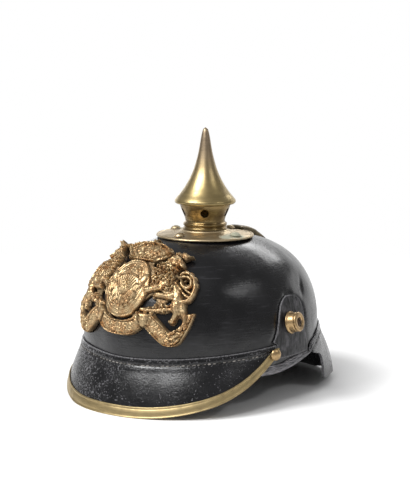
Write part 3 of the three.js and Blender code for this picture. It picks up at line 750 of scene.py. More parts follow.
@finish("Stamped Gilt Brass")
def plate_brass(add, place, tones):
    """Stamped and fire-gilt brass: bright where it stands up, pinkish where the gilding is rubbed through,
    and brown in its hollows and along its outline, partly tarnish and partly painted shade."""

    def rubbed(base, rough, metal):
        tint = add("Mix", {0: 1.0, 6: base, 7: tones.rubbed}, 2, data_type="RGBA", blend_type="MULTIPLY")
        thin = add("MapRange", (grain(add, place, 6, 4), 0.44, 0.6, 0, 0.7))
        return painted(add, base, (thin, tint)), rough, metal

    brass(add, place, tones, tones.plate, 0.4, (0.8, (1, 1, 1)), 0.5, rubbed, True, 0.12)


@finish("Turned Golden Brass")
def fitting_brass(add, place, tones):
    """Cast and turned brass of posts and studs: golden, with brown in its corners."""
    brass(add, place, tones, tones.fitting, 0.33, (0.8, (1, 6, 6)), 0.45)


@finish("Pressed Dark Brass")
def spine_brass(add, place, tones):
    """Pressed brass of the back spine, blackened by handling."""
    brass(add, place, tones, tones.spine, 0.34, (1.2, (1, 8, 8)), 0.6)


@finish("Lacquered Dull Brass")
def base_brass(add, place, tones):
    """Lacquered brass plate gone dull and pinkish, with grey-green corrosion round two studs."""

    def corroded(base, rough, metal):
        cover = 0.0
        for angle, reach in CORROSION:
            spot = BASE["circle"] * direction(angle) + (0, 0, under_base_z(BASE["circle"]) + 2)
            near = add("VectorMath", (place, tuple(to_row(spot))), "Value", operation="DISTANCE")
            here = add("MapRange", (near, reach * MM, 2 * MM))
            cover = add("Math", (cover, here), operation="MAXIMUM")
        cover = add("Math", (cover, grain(add, place, 2.4, 4)), operation="ADD")
        cover = add("MapRange", (cover, 1.0, 1.3, 0, 0.9))
        crusty = add("Math", (cover, 0.8), operation="MULTIPLY")
        rough = add("Math", (rough, crusty), operation="MAXIMUM")
        metal = add("Math", (metal, add("MapRange", (cover, 0, 1, 1.0, 0.05))), operation="MULTIPLY")
        return painted(add, base, (cover, tones.verdigris)), rough, metal

    brass(add, place, tones, tones.base, 0.42, (1.0, (1, 1, 4)), 0.3, corroded)


@finish("Blued Iron")
def blued_iron(add, place, tones):
    """Iron screw, blued and then rusted: nearly black, with a low broken gloss."""
    rust = grain(add, place, 1.4, 4)
    base = painted(add, tones.iron, (add("MapRange", (rust, 0.5, 0.65)), tones.rust))
    rough = add("MapRange", (rust, 0.4, 0.7, 0.4, 0.75))
    metal = add("MapRange", (rust, 0.5, 0.65, 0.9, 0.3))
    close_shader(add, colour=base, roughness=rough, normal=embossed(add, (rust, 0.15)), metallic=metal)


# ---- leather ------------------------------------------------------------------------------------
def columns_of(low, high, count):
    return np.linspace(low, high, count)[:, None]


def tab_sink(y, z):
    """How far the bowl lies pressed in under a side tab, and just outside its outline."""
    level = np.clip(z, TAB_OUTLINE["z"][0], TAB_OUTLINE["z"][-1])
    front = np.interp(level, TAB_OUTLINE["z"], TAB_OUTLINE["front"])
    rear = np.interp(level, TAB_OUTLINE["z"], TAB_OUTLINE["rear"])
    outside = np.hypot(np.maximum(np.maximum(front - y, y - rear), 0), np.maximum(z - level, 0))
    return TAB_SINK * hump(outside, 0, 3.4)


def leather_shell(wall):
    """The blocked bowl, pressed in under the side tabs and creased behind the wearer's left one."""
    angles = columns_of(0, 360, 331)[:-1]
    part = np.linspace(0, 1, 121)[None]
    straight = 0.12
    climb = np.clip(part - straight, 0, None) / (1 - straight) * 90
    low = mix(shell_edge_z(angles), EQUATOR, np.clip(part / straight, 0, 1))
    outer = np.where((part > straight)[..., None], crown_point(angles, climb), wall_point(angles, low))
    x, y, z = outer[..., 0], outer[..., 1], outer[..., 2]
    crease = hump(y - CREASE["lean"] * (z - 94), CREASE["y"], 2.3) * hump(z, CREASE["z"], 6.5)
    hollow = hump(y, 29, 12) * hump(z, CREASE["z"], 11)
    sink = (x > 0) * (CREASE["depth"] * crease + CREASE["hollow"] * hollow)
    sink = sink + (np.abs(x) > 60) * tab_sink(y, z)
    # Old leather is never true: it has broad dents and small ones.
    sink = sink + 0.45 * noise(outer, 34, 3.0) ** 2 + 0.10 * (1 + noise(outer, 12, 9.0))
    outer = outer - sink[..., None] * outer_normal(outer)
    piece = sheet("bowl", np.concatenate([outer, outer[:1]]))
    weld(piece)
    modify(piece, "SOLIDIFY", thickness=wall * MM, offset=-1.0)
    note(piece, "worn_edge", np.zeros(len(piece.data.vertices)))
    settle(piece, shell_leather(), "shell_leather", "leather_shell", smooth=60)


def outer_normal(points):
    """Which way a closed run of columns faces, by its neighbours."""
    ahead = np.roll(points, -1, 0) - np.roll(points, 1, 0)
    up = np.gradient(points, axis=1)
    normal = np.cross(ahead, up)
    size = np.linalg.norm(normal, axis=-1, keepdims=True)
    return normal / np.maximum(size, 1e-9)


def rolled_rim():
    """The rolled leather binding under the bowl: three pressed lines, swollen between the visors."""
    angles = columns_of(0, 360, 217)[:-1]
    bottom = rim_bottom_z(angles)
    share = np.linspace(0, 1, 30)[None]
    turn = np.pi * np.linspace(0, 1, 9)[None]
    bow = RIM["wall"] / 2
    top = shell_edge_z(angles) - GAP
    z = top - (top - bottom - bow) * share
    lines = sum(hump(share, at, 0.045) for at in (0.18, 0.42, 0.66))
    between_visors = ease(fold(angles), 80, 85) * (1 - ease(fold(angles), 103, 109))
    swelling = RIM["swelling"] * between_visors * np.sin(np.pi * np.clip(share * 1.05, 0, 1)) ** 0.8
    under = around(angles, 1.0, bottom + bow - bow * np.sin(turn), -bow * (1 - np.cos(turn)))
    outer = np.concatenate([around(angles, 1.0, z, swelling - 0.45 * lines), under[:, :5]], 1)
    inner = np.concatenate([around(angles, 1.0, z, -RIM["wall"]), under[:, :3:-1]], 1)
    piece = thick("rim", outer, inner, closed_run=True)
    settle(piece, rim_leather(), "visor_leather", "rim_binding", smooth=50)


def sewn_visor(name, node, face, angles, low_z, seam_z, wall, edges=0.6):
    """A visor's leather: skived thin at its seam, with a pressed groove for the stitches."""
    z = mix(low_z, seam_z, np.linspace(0, 1, 76)[None])
    sewn = seam_z - STITCH_DROP
    skived = 1 - 0.35 * ease(z, seam_z - 3.5, seam_z)
    groove = 0.6 * hump(z, sewn, 1.0)
    puffed = 0.12 * hump(z, sewn - 3.4, 1.8)
    ends = np.minimum(np.abs(angles - angles[0]), np.abs(angles - angles[-1]))
    rounded = 1 - 0.35 * hump(ends, 0, 0.5)
    base = face(angles, z)
    waves = 0.08 * noise(base, 15, 4.0) + 0.03 * noise(base, 5, 7.0)
    deep = wall * skived * rounded - groove + puffed + waves * ease(seam_z - z, 1, 6)
    outer = off_face(face, angles, z, deep)
    piece = thick(name, outer, base, edges=edges, seam=ease(z, sewn - 3, sewn))
    settle(piece, visor_leather(), "visor_leather", node, smooth=50)


def stitches(name, face, first, last, seam_z, wall, pitch):
    """One row of stitches: each lies in the groove, set a little into it."""
    rng = np.random.default_rng(7)

    def sewn_at(angle, lift):
        return off_face(face, angle, seam_z(angle) - STITCH_DROP, wall + lift)

    fine = np.linspace(first, last, 2000)
    steps = np.linalg.norm(np.diff(sewn_at(fine, -0.25), axis=0), axis=1)
    along = np.concatenate([[0], np.cumsum(steps)])
    deselect()
    bpy.ops.mesh.primitive_uv_sphere_add(segments=8, ring_count=6, radius=0.5 * MM)
    stitch = bpy.context.object
    bpy.ops.object.mode_set(mode="EDIT")
    bpy.ops.transform.rotate(value=math.pi / 2, orient_axis="Y", center_override=(0, 0, 0))
    bpy.ops.transform.resize(value=(3.1, 1.0, 0.85), center_override=(0, 0, 0))
    bpy.ops.object.mode_set(mode="OBJECT")
    places = []
    for index in range(int(along[-1] / pitch)):
        here = np.interp([(index + 0.5) * pitch], along, fine)
        spot = sewn_at(here, -0.3)[0]
        run = Vector(sewn_at(here + 0.4, -0.3)[0] - spot).normalized()
        across = Vector(sewn_at(here, 1.0)[0] - spot).cross(run).normalized()
        turn = Matrix((run, across, run.cross(across))).transposed().to_4x4()
        turn = turn @ Matrix.Rotation(rng.normal(0, 0.09) + 0.1, 4, "Z")
        size = Matrix.Diagonal((1 + rng.normal(0, 0.1), 1 + rng.normal(0, 0.12), 1, 1))
        places.append(Matrix.Translation(Vector(to_row(spot))) @ turn @ size)
    settle(repeated(name, stitch, places), linen_thread(), "visor_leather", smooth=180)


def front_visor(wall, pitch):
    angles = columns_of(-FRONT["end"], FRONT["end"], 261)
    low = front_edge_z(angles) + TRIM["brass"] + GAP
    sewn_visor("visor_front", "front_visor", front_face, angles, low, front_seam_z(angles), wall)
    stitches("stitches_front", front_face, 2 - FRONT["end"], FRONT["end"] - 3, front_seam_z, wall, pitch)


def rear_visor(wall, pitch):
    middle = np.linspace(-REAR["corner"], REAR["corner"], 181)[1:-1]
    corner = np.linspace(REAR["corner"], REAR_CORNER["angle"][-1], 25)
    angles = np.concatenate([-corner[::-1], middle, corner])[:, None]
    free, seam = rear_free_z(angles), rear_seam_z(angles)
    sewn_visor("visor_rear", "rear_visor", rear_face, angles, free, seam, wall, edges=0.05)
    stitches("stitches_rear", rear_face, -66, 66, rear_seam_z, wall, pitch)


def side_tab(name, side, wall):
    """Thin leather under the post, puckered where it was wetted and pulled over the bowl."""
    z = np.linspace(TAB_OUTLINE["z"][0], TAB_OUTLINE["z"][-1], 90)[:, None]
    front = np.interp(z, TAB_OUTLINE["z"], TAB_OUTLINE["front"])
    rear = np.interp(z, TAB_OUTLINE["z"], TAB_OUTLINE["rear"])
    y = mix(front, rear, np.linspace(0, 1, 56)[None])
    z = z + 0 * y
    flat = np.stack([y, z * 0.28, 0 * y], -1)
    pucker = noise(flat, 2.6, 5.0) * 0.42 + noise(np.stack([y, z, 0 * y], -1), 9, 2.0) * 0.25
    near_post = np.hypot(y - POST["y"], z - POST["z"]) < POST["flange"] + 1.5
    pucker = np.where(near_post, np.minimum(pucker, 0), pucker)
    base = side_point(y, z, GAP - TAB_SINK, side)
    out = side_point(y, z, GAP - TAB_SINK + wall, side) - base
    outer = base + out * (1 + np.clip(pucker, -0.3, 0.6) / wall)[..., None]
    piece = thick(name, outer, base, edges=0.5)
    settle(piece, tab_leather(), "tab_leather", f"side_tab_{name[4:]}", smooth=50)


# ---- brass --------------------------------------------------------------------------------------
def visor_trim():
    """The channel folded over the visor's edge, with a bead along its top and a line inside it."""
    body = np.linspace(-FRONT["end"], FRONT["end"], 321)
    angles = np.concatenate([[-TRIM["end"]], body, [TRIM["end"]]])[:, None]
    low = front_edge_z(angles)
    steep = 1 / np.linalg.norm(front_face(angles, low + 1) - front_face(angles, low), axis=-1)
    aside = np.abs(angles)
    width = mix(TRIM["front_width"], TRIM["side_width"], ease(aside, 30, 75)) * steep
    wall = TRIM["brass"]
    inside = mix(TRIM["inside"] * steep, wall * 1.2, ease(aside, 48, 57))
    depth = mix(GAP + wall, -wall * 1.2, ease(aside, 57, 66))
    skin = FRONT_WALL + GAP
    share = np.linspace(1, 0.12, 26)[None]
    over = low + width * share
    # A bead along the top, a pressed line on each side of the flat, and a low belly between them.
    raised = 0.34 * hump(share, 0.93, 0.055)
    for line in (0.8, 0.2):
        raised = raised - 0.16 * hump(share, line, 0.03)
    raised = raised + 0.22 * np.sin(np.pi * np.clip((share - 0.2) / 0.6, 0, 1))
    raised = raised + 0.05 * noise(front_face(angles, over), 14, 6.0) - 0.2
    turn = np.linspace(0, np.pi / 2, 6)[None]
    part = turn / turn[0, -1]
    leg = mix(low + wall, low + inside, np.linspace(0.2, 1, 5)[None])
    fold_z = low + wall + 0 * turn

    def face(levels, offsets):
        offsets = [np.broadcast_to(offset, level.shape) for level, offset in zip(levels, offsets)]
        return off_face(front_face, angles, np.concatenate(levels, 1), np.concatenate(offsets, 1))

    outer = face((over, low + wall * (1 - np.sin(turn)), low + wall * (1 - np.cos(turn)), leg),
                 (skin + wall + raised, skin + wall * np.cos(turn), wall * (1 - np.sin(turn)) - depth,
                  -depth))
    inner = face((over, fold_z, fold_z, leg),
                 (skin, mix(skin, skin - 0.5, part), mix(wall - depth + 0.5, wall - depth, part),
                  wall - depth))
    piece = thick("trim", outer, inner)
    settle(piece, trim_brass(), "trim_brass", "visor_trim", smooth=50)


def rear_spine():
    """The raised rib from the base plate down the back."""
    part = np.linspace(-1, 1, 25)[None]
    bow = np.sqrt(1 - 0.9 * np.abs(part) ** 5)

    def strip(offset, share, z):
        half_width = (HALF_WIDTH + offset) * share
        turn = np.arcsin(SPINE["half_width"] / half_width) * part
        reach = (HALF_LENGTH + offset) * share
        return np.stack(np.broadcast_arrays(half_width * np.sin(turn), reach * np.cos(turn), z), -1)

    y = np.concatenate([np.linspace(38.8, 46, 24), np.linspace(46.5, 89, 60)])[:, None]
    lift = np.interp(y, SPINE_PROFILE["y"], SPINE_PROFILE["lift"])
    top = np.interp(y, SPINE_PROFILE["y"], SPINE_PROFILE["top"])
    share = y / HALF_LENGTH
    under = strip(lift, share, EQUATOR + (RISE + lift) * ridge_share(y))
    over_lift = mix(lift, top, 0.35 + 0.65 * bow)
    over = strip(over_lift, share, EQUATOR + (RISE + over_lift) * ridge_share(y))
    z = np.linspace(EQUATOR + RISE * ridge_share(89.0), REAR["seam"] + 2.2, 50)[1:, None]
    wall_under = strip(GAP + 0 * z, crown_share(z, GAP), z)
    raised = GAP + SPINE["thickness"] * (0.35 + 0.65 * bow)
    wall_over = strip(raised, crown_share(z, GAP + SPINE["thickness"]), z)
    piece = thick("spine", np.concatenate([over, wall_over]), np.concatenate([under, wall_under]))
    settle(piece, spine_brass(), "spike_brass", "rear_spine", smooth=40)


def spike_base():
    """The spun base plate, with its rolled edge and the raised seat of the collar."""
    edge = BASE["radius"]
    rim_z = under_base_z(edge)
    low = [(under_base_z(r), r) for r in np.linspace(BASE["hole"], edge - 0.8, 16)]
    rim = [
        (rim_z + 0.2, edge - 0.25), (rim_z + 0.8, edge), (rim_z + 1.5, edge - 0.2),
        (rim_z + 2.0, edge - 0.9), (rim_z + 1.95, edge - 1.7), (rim_z + 1.45, edge - 2.4),
    ]
    top = [(under_base_z(r) + BASE["brass"] + 0.12, r) for r in np.linspace(edge - 3.4, 24, 14)]
    seat = [
        (BASE["foot_z"] - 1.5, BASE["foot"] + 2.1), (BASE["foot_z"] - 1.1, BASE["foot"] + 1.0),
        (BASE["foot_z"] - 0.4, BASE["foot"] + 0.5), (BASE["foot_z"] - 0.05, BASE["foot"] - 0.2),
        (BASE["foot_z"], BASE["foot"] - 1.0), (BASE["foot_z"], BASE["hole"]),
    ]
    piece = turned("base_plate", low + softened(rim, 2) + top + softened(seat, 2) + [low[0]], 144)
    place_at(piece)
    points = points_of(piece)
    dents = noise((points - to_row((0, 0, 0))) / MM, 16, 2.0)
    reach = np.hypot(points[:, 0], points[:, 1] - AXIS_Y) / MM
    points[:, 2] += dents * 0.22 * MM * ease(reach, 20, 30)
    put_points(piece, points)
    settle(piece, base_brass(), "base_brass", "spike_base")


def base_studs():
    """Four domed nuts with a foot ring, one modelled and copied round."""
    stud = [(0, 0), (0, 4.3), (0.15, 4.55), (0.45, 4.6), (0.65, 4.4), (0.75, 4.05), (1.3, 3.7), (1.9, 3),
            (2.3, 2), (2.52, 1), (2.6, 0)]
    model = turned("stud_front", domed(stud), 40)
    r = BASE["circle"]
    slope = (under_base_z(24) - under_base_z(38)) / 14
    names = ("front", "left", "rear", "right")
    pieces = [model] + [copy_of(model, f"stud_{name}") for name in names[1:]]
    for piece, name, angle in zip(pieces, names, (0, 90, 180, 270)):
        across = direction(angle)
        seat = r * across + (0, 0, under_base_z(r) + BASE["brass"] + 2 * GAP)
        place_at(piece, seat, slope * across + (0, 0, 1))
        settle(piece, base_brass(), "base_brass", f"base_stud_{name}")


def spike_neck():
    """The vented collar, with two beads at its foot and five round holes."""
    outside = [tuple(row) for row in NECK_PROFILE]
    inside = [(z, r - NECK["brass"]) for z, r in reversed(outside)]
    piece = turned("collar", softened(outside, 5) + softened(inside, 3) + [outside[0]], 120)
    place_at(piece)
    for index in range(NECK["vents"]):
        across = direction(NECK["vent_angle"] + index * 360 / NECK["vents"])
        deselect()
        bpy.ops.mesh.primitive_cylinder_add(vertices=40, radius=NECK["vent_radius"] * MM, depth=12 * MM)
        drill = bpy.context.object
        place_at(drill, 19 * across + (0, 0, NECK["vent_z"]), across)
        cut(piece, drill)
    modify(piece, "BEVEL", width=0.22 * MM, segments=2, limit_method="ANGLE", angle_limit=math.radians(50))
    settle(piece, collar_brass(), "spike_brass", "spike_neck", smooth=35)


def spike():
    """The spun spike, closed inside its lip."""
    outside = softened([tuple(row) for row in SPIKE_PROFILE], 5)
    lip = [(159.2, 24.2), (159.25, 23.2), (159.6, 22.5), (160.4, 22.5), (161.8, 22.9), (164, 21), (166, 0)]
    piece = turned("spike_cone", [(outside[0][0], 0.0)] + outside[1:] + lip, 120)
    place_at(piece)
    settle(piece, spike_brass(), "spike_brass", "spike", smooth=40)


def side_post(name, side):
    """The strap post: a beaded flange, a stout barrel and a ringed end round its sunk screw."""
    recess = POST["recess"]
    profile = [
        (0, 0), (0, 8.7), (0.3, 9.2), (0.9, POST["flange"]), (1.5, 9.1), (1.8, 8.65), (2.4, 8.4),
        (3.8, 8.25), (5.2, 8.1), (6.3, 7.95), (6.8, 7.6), (7.2, 7.65), (7.7, 8), (8.4, 8.05), (8.9, 7.8),
        (9.3, 7.2), (9.4, 6.2), (9.3, 5), (9, 4.3), (8.4, 3.95), (recess, 3.9), (recess, 0),
    ]
    foot = np.array((side * POST["base_x"], POST["y"], POST["z"]))
    axis = direction(side * (90 + POST["back"]), POST["up"])
    piece = turned(f"post_{name}", profile[:2] + softened(profile[2:-2], 3) + profile[-2:], 72)
    place_at(piece, foot, axis)
    settle(piece, fitting_brass(), "fitting_brass", f"side_post_{name}")
    head = [(0, 0), (0, 3.3), (0.5, 3.4), (0.9, 3.1), (1.1, 2.3), (1.2, 1.1), (1.22, 0)]
    screw = turned(f"screw_{name}", domed(head), 40)
    deselect()
    bpy.ops.mesh.primitive_cube_add(size=1.0)
    slot = bpy.context.object
    size = Matrix.Diagonal((10 * MM, 0.9 * MM, 1.4 * MM, 1))
    slot.data.transform(Matrix.Translation((0, 0, 1.3 * MM)) @ size)
    cut(screw, slot)
    place_at(screw, foot + axis * (recess + 0.05), axis, spin=0.7)
    settle(screw, blued_iron(), "fitting_brass", smooth=35)


def trim_stud(name, side):
    """The round-headed rivet that pins the trim's end."""
    dome = [(0, 0), (0, 4.55), (0.2, 4.8), (0.6, 4.7), (1.1, 4.3), (1.8, 3.4), (2.3, 2.3), (2.55, 1.1),
            (2.6, 0)]
    piece = turned(f"rivet_{name}", domed(dome), 48)
    lift = FRONT_WALL + 2 * GAP + TRIM["brass"] + RIVET["lift"]
    seat, ahead = off_face(front_face, side * RIVET["angle"], RIVET["z"], np.array([lift, lift + 1]))
    place_at(piece, seat, ahead - seat)
    settle(piece, fitting_brass(), "fitting_brass", f"trim_stud_{name}")


# ---- helmet plate -------------------------------------------------------------------------------
# The plate is drawn on a flat chart, u across and v up in millimetres, which a centre behind it
# throws on to the bowl. Only the wearer's-left half is drawn: the other is its mirror image.
CELL = 0.44
CHART_U = np.arange(0, 165) * CELL
CHART_V = np.arange(-82, 150) * CELL


class Relief:
    """How high the half chart stands, and how far each place is outside the plate's outline."""

    def __init__(self):
        self.u, self.v = np.meshgrid(CHART_U, CHART_V, indexing="ij")
        self.height = np.zeros(self.u.shape)
        self.outside = np.full(self.u.shape, 50.0)

    def window(self, points, margin):
        """The part of the chart round some points."""
        low = np.min(points, 0) - margin
        high = np.max(points, 0) + margin
        across = slice(*np.searchsorted(CHART_U, (low[0], high[0])))
        up = slice(*np.searchsorted(CHART_V, (low[1], high[1])))
        return across, up

    def along(self, line, area):
        """Distance to a line of (u, v, ...) rows, and the rest of the row at the nearest place."""
        u, v = self.u[area], self.v[area]
        best = np.full(u.shape, 1e9)
        rest = np.zeros(u.shape + (line.shape[1] - 2,))
        for start, end in zip(line, line[1:]):
            run = end[:2] - start[:2]
            part = ((u - start[0]) * run[0] + (v - start[1]) * run[1]) / max(run @ run, 1e-9)
            part = np.clip(part, 0, 1)
            far = np.hypot(u - start[0] - part * run[0], v - start[1] - part * run[1])
            near = far < best
            best = np.where(near, far, best)
            rest = np.where(near[..., None], start[2:] + part[..., None] * (end[2:] - start[2:]), rest)
        return best, rest

    def raise_to(self, area, made, far):
        """Raises an area to new heights, and makes it solid where its distance is negative."""
        self.height[area] = np.maximum(self.height[area], made)
        self.outside[area] = np.minimum(self.outside[area], far)

    def stroke(self, rows, top, foot=0.8, width=None):
        """A rounded ridge along rows of (u, v, half width), or of (u, v) with one half width."""
        if width:
            rows = [(u, v, width) for u, v in rows]
        line = smooth_line(rows)
        area = self.window(line[:, :2], line[:, 2].max() + 1.5)
        far, rest = self.along(line, area)
        half = rest[..., 0]
        bulge = np.sqrt(np.clip(1 - (far / half) ** 2, 0, 1))
        self.raise_to(area, np.where(far < half, mix(foot, top, bulge), 0), far - half)

    def groove(self, rows, width, depth):
        """A cut along rows of (u, v)."""
        line = smooth_line(rows)
        area = self.window(line[:, :2], 3 * width)
        far, _ = self.along(line, area)
        self.height[area] -= depth * hump(far, 0, width)

    def vein(self, u, v, turn, back, ahead):
        """A fine cut through a place, at an angle to the u axis."""
        c, s = heading(turn)
        self.groove([(u - back * c, v - back * s), (u + ahead * c, v + ahead * s)], 0.3, 0.8)

    def boss(self, u, v, long, wide, top, turn=0.0, foot=0.8):
        """A rounded oval."""
        area = self.window(np.array([[u, v]]), max(long, wide) + 1)
        du, dv = self.u[area] - u, self.v[area] - v
        c, s = heading(turn)
        far = np.hypot((du * c + dv * s) / long, (dv * c - du * s) / wide)
        made = np.where(far < 1, mix(foot, top, np.sqrt(np.clip(1 - far ** 2, 0, 1))), 0)
        self.raise_to(area, made, (far - 1) * min(long, wide))

    def fill(self, outline, level, crown, soft):
        """A field inside a closed outline, crowned towards its middle."""
        ring = np.array(outline, float)
        area = self.window(ring, 2.0)
        far = outline_distance(self.u[area], self.v[area], ring)
        depth = np.clip(-far / soft, 0, None)
        self.raise_to(area, np.where(far < 0, level + crown * (1 - np.exp(-depth)), 0), far)

    def opening(self, outline):
        """A hole through the plate."""
        ring = smooth_line(outline + outline[:1], closed=True)
        area = self.window(ring, 3.0)
        far = outline_distance(self.u[area], self.v[area], ring)
        self.outside[area] = np.maximum(self.outside[area], -far)


def smooth_line(rows, closed=False, per=5):
    """A curve through rows of numbers."""
    rows = np.array(rows, float)
    if len(rows) == 2:
        return rows
    before = rows[-2:-1] if closed else rows[:1]
    after = rows[1:2] if closed else rows[-1:]
    ends = np.concatenate([before, rows, after])
    fine = []
    for a, b, c, d in zip(ends, ends[1:], ends[2:], ends[3:]):
        for s in np.arange(per) / per:
            bend = 2 * a - 5 * b + 4 * c - d + s * (3 * b - a - 3 * c + d)
            fine.append(b + 0.5 * s * (c - a + s * bend))
    return np.array(fine + [rows[-1]])


def outline_distance(u, v, ring):
    """Signed distance to a closed outline: negative inside."""
    best = np.full(u.shape, 1e9)
    inside = np.zeros(u.shape, bool)
    for start, end in zip(ring, np.roll(ring, -1, 0)):
        run = end - start
        part = np.clip(((u - start[0]) * run[0] + (v - start[1]) * run[1]) / max(run @ run, 1e-9), 0, 1)
        best = np.minimum(best, np.hypot(u - start[0] - part * run[0], v - start[1] - part * run[1]))
        if run[1]:
            crosses = (start[1] > v) != (end[1] > v)
            inside ^= crosses & (u < start[0] + (v - start[1]) * run[0] / run[1])
    return np.where(inside, -best, best)


def heading(turn):
    """Cosine and sine of an angle on the chart, counted from the u axis."""
    return math.cos(math.radians(turn)), math.sin(math.radians(turn))


def mirrored_half(rows):
    """Closes a half outline that starts and ends on the middle line."""
    return rows + [(-u, v) for u, v in reversed(rows) if u > 0]


def draw_ground(plate):
    """The low sheet that joins the figures."""
    ground = [
        (0, 58), (10, 57), (20, 54), (24, 50), (26, 47), (27, 49), (36, 49), (42, 43), (43, 37), (40, 32.5),
        (43, 27), (46, 35), (52, 35.5), (59, 31), (62, 24), (61.5, 14), (58, 7), (59, -2), (60, -8),
        (63, -9), (66, -2), (66, -12), (61, -25), (56, -31), (47, -33), (38, -29.5), (28, -21),
        (24, -20.5), (18, -26.5), (10, -29), (0, -29.5),
    ]
    plate.fill(mirrored_half(ground), 1, 0.5, 2)


def draw_shield(plate):
    """An oval shield: a rolled border round hatched fields, a fan and scrolls."""
    border = [(0, 35), (6, 34), (12.5, 29.3), (18, 20.5), (21.3, 11.8), (20.3, 4.3), (18, -3), (14.6, -8),
              (10, -12.6), (0, -15.6)]
    plate.fill(mirrored_half(border), 3.9, 1, 6)
    plate.stroke(border, 4.3, 2.6, width=0.8)
    inner = [(0, 31.5), (5.5, 30.6), (10.6, 26.4), (15, 19), (17.8, 11.5), (17, 4.5), (15, -1.8),
             (12, -6.2),
             (8, -9.8), (0, -12.4)]
    plate.groove(inner, 0.5, 0.5)
    plate.boss(15, 17, 3, 6, 6, -18, 4.2)
    for step in range(6):
        plate.groove([(0.5 * step, 2.6), (2.1 * step, 18.6 - 0.22 * step * step)], 0.45, 1.1)
    plate.stroke([(0, 20.6, 0.7), (4.6, 20.2, 0.7), (9.6, 18.4, 0.6)], 6.4, 5)
    plate.groove([(9.4, 12.6), (17.4, 12)], 0.45, 0.8)
    plate.groove([(0, 22.6), (0, 31)], 0.45, 0.8)
    plate.groove([(0, 3.2), (0, -12)], 0.45, 0.8)
    for v in np.arange(23.5, 30, 1.4):
        plate.groove([(1.2, v), (11.5 - 0.7 * (v - 23.5), v)], 0.34, 0.6)
    for step in range(5):
        plate.groove([(9.3 + step * 1.6, 10.8), (3 + step * 1.9, -3 + 0.6 * step)], 0.34, 0.6)
    for share in (0.86, 0.74):
        plate.groove([(share * u, 9.5 + share * (v - 9.5)) for u, v in inner], 0.35, 0.6)
    scrolls = (
        [(2.4, -0.6), (4.6, -2.8), (3.4, -5.4), (5.8, -7.4)], [(6.6, 1.6), (8.8, -0.8), (7.6, -3.6),
                                                               (10, -5.2)],
        [(10.6, 6.6), (13, 4.2), (11.6, 1.4), (14.2, -0.4)],
    )
    for scroll in scrolls:
        plate.stroke(scroll, 6, 4.6, width=0.5)


def draw_crown(plate):
    """A closed crown that flares from its jewelled ring: arches with pearls under an orb."""
    outline = [(0, 58.6), (8, 58.2), (15, 57.2), (21, 55), (25.2, 51.2), (25, 47.4), (20.4, 41.2),
               (14.6, 36.6), (0, 36.2)]
    plate.fill(mirrored_half(outline), 2.8, 2.2, 4)
    plate.stroke(outline[3:8], 4.6, 2.8, width=0.8)
    arches = (
        [(12.6, 40.2, 1.4), (18.2, 45, 1.5), (22, 49.4, 1.6), (19.6, 54, 1.5), (11, 57, 1.4),
         (0, 58.6, 1.3)],
        [(7.4, 40.4, 1.2), (12, 45.6, 1.3), (13.2, 50.6, 1.3), (8.4, 55.8, 1.2), (0, 58.8, 1.2)],
    )
    for arch in arches:
        plate.stroke(arch, 5.8, 3)
        line = smooth_line(arch, per=2)
        for u, v, _ in line[1:-2]:
            plate.boss(u, v, 1.05, 1.05, 6.7, 0, 4.5)
    plate.stroke([(0, 42, 0.9), (3.4, 47, 1.1), (3.6, 52, 1.1), (0, 57, 0.9)], 5.8, 3)
    plate.stroke([(0, 36.8), (7.5, 37), (14, 38)], 5, 2.4, width=0.8)
    plate.stroke([(0, 40.9), (7, 41.2), (14.6, 42.4)], 5, 2.4, width=0.7)
    for u, v in ((0, 38.8), (3.6, 38.9), (7.2, 39.1), (10.6, 39.6), (13.6, 40.2)):
        plate.boss(u, v, 1.2, 0.85, 5.6, 8, 3.5)
    plate.boss(0, 60.6, 2.4, 2.2, 6.4)
    plate.stroke([(0, 62, 0.8), (0, 65, 0.7)], 5)
    plate.stroke([(0, 63.6), (1.9, 63.6)], 5, width=0.7)


def draw_lion(plate):
    """A crowned lion that stands beside the shield and looks outwards."""
    plate.stroke([(30, 36, 8.5), (31, 26, 10.5), (37, 19, 9), (45, 12, 7.2), (49, 5, 6.2),
                  (51, -1, 5)], 4.4, 1.6)
    plate.boss(49.2, 4.5, 6.2, 8.6, 5.8, 16, 2.2)
    plate.stroke([(44.5, 18, 2.6), (47.5, 12.5, 3.6), (49, 6.5, 4), (50, 0.5, 3.4)], 6.3, 3.4)
    plate.stroke([(50, 1, 4.2), (51, -4, 2.7), (50, -8.5, 2.1), (49, -11.2, 2.3)], 5, 1.4)
    plate.stroke([(53.5, 3, 4.6), (57.5, -2, 3.4), (60.6, -8, 2.3), (59.6, -13.5, 2),
                  (57.4, -16.2, 2.3)], 4.8, 1.4)
    for toe in range(3):
        plate.boss(47.2 + 1.7 * toe, -11.4 - 0.5 * (toe == 1), 1, 1.5, 5.2, 0, 2)
        plate.boss(55.6 + 1.6 * toe, -16.6 - 0.5 * (toe == 1), 0.9, 1.4, 5, 0, 2)
    plate.stroke([(35, 19, 4.4), (30.5, 14.6, 3.4), (26, 12.4, 2.7), (21.5, 9.8, 2.5)], 5.8, 2.2)
    plate.stroke([(44.5, 11, 4), (40.5, 8.6, 2.9), (36, 8.4, 2.5), (31.2, 8, 2.5)], 5.4, 1.6)
    for toe in range(3):
        plate.boss(19.8 + 0.5 * toe, 11.5 - 1.8 * toe, 1.6, 0.95, 6.4, 15, 3)
        plate.boss(29 + 0.3 * toe, 9.6 - 1.7 * toe, 1.6, 0.95, 5.8, 15, 2.4)
    draw_mane(plate)
    draw_head(plate)


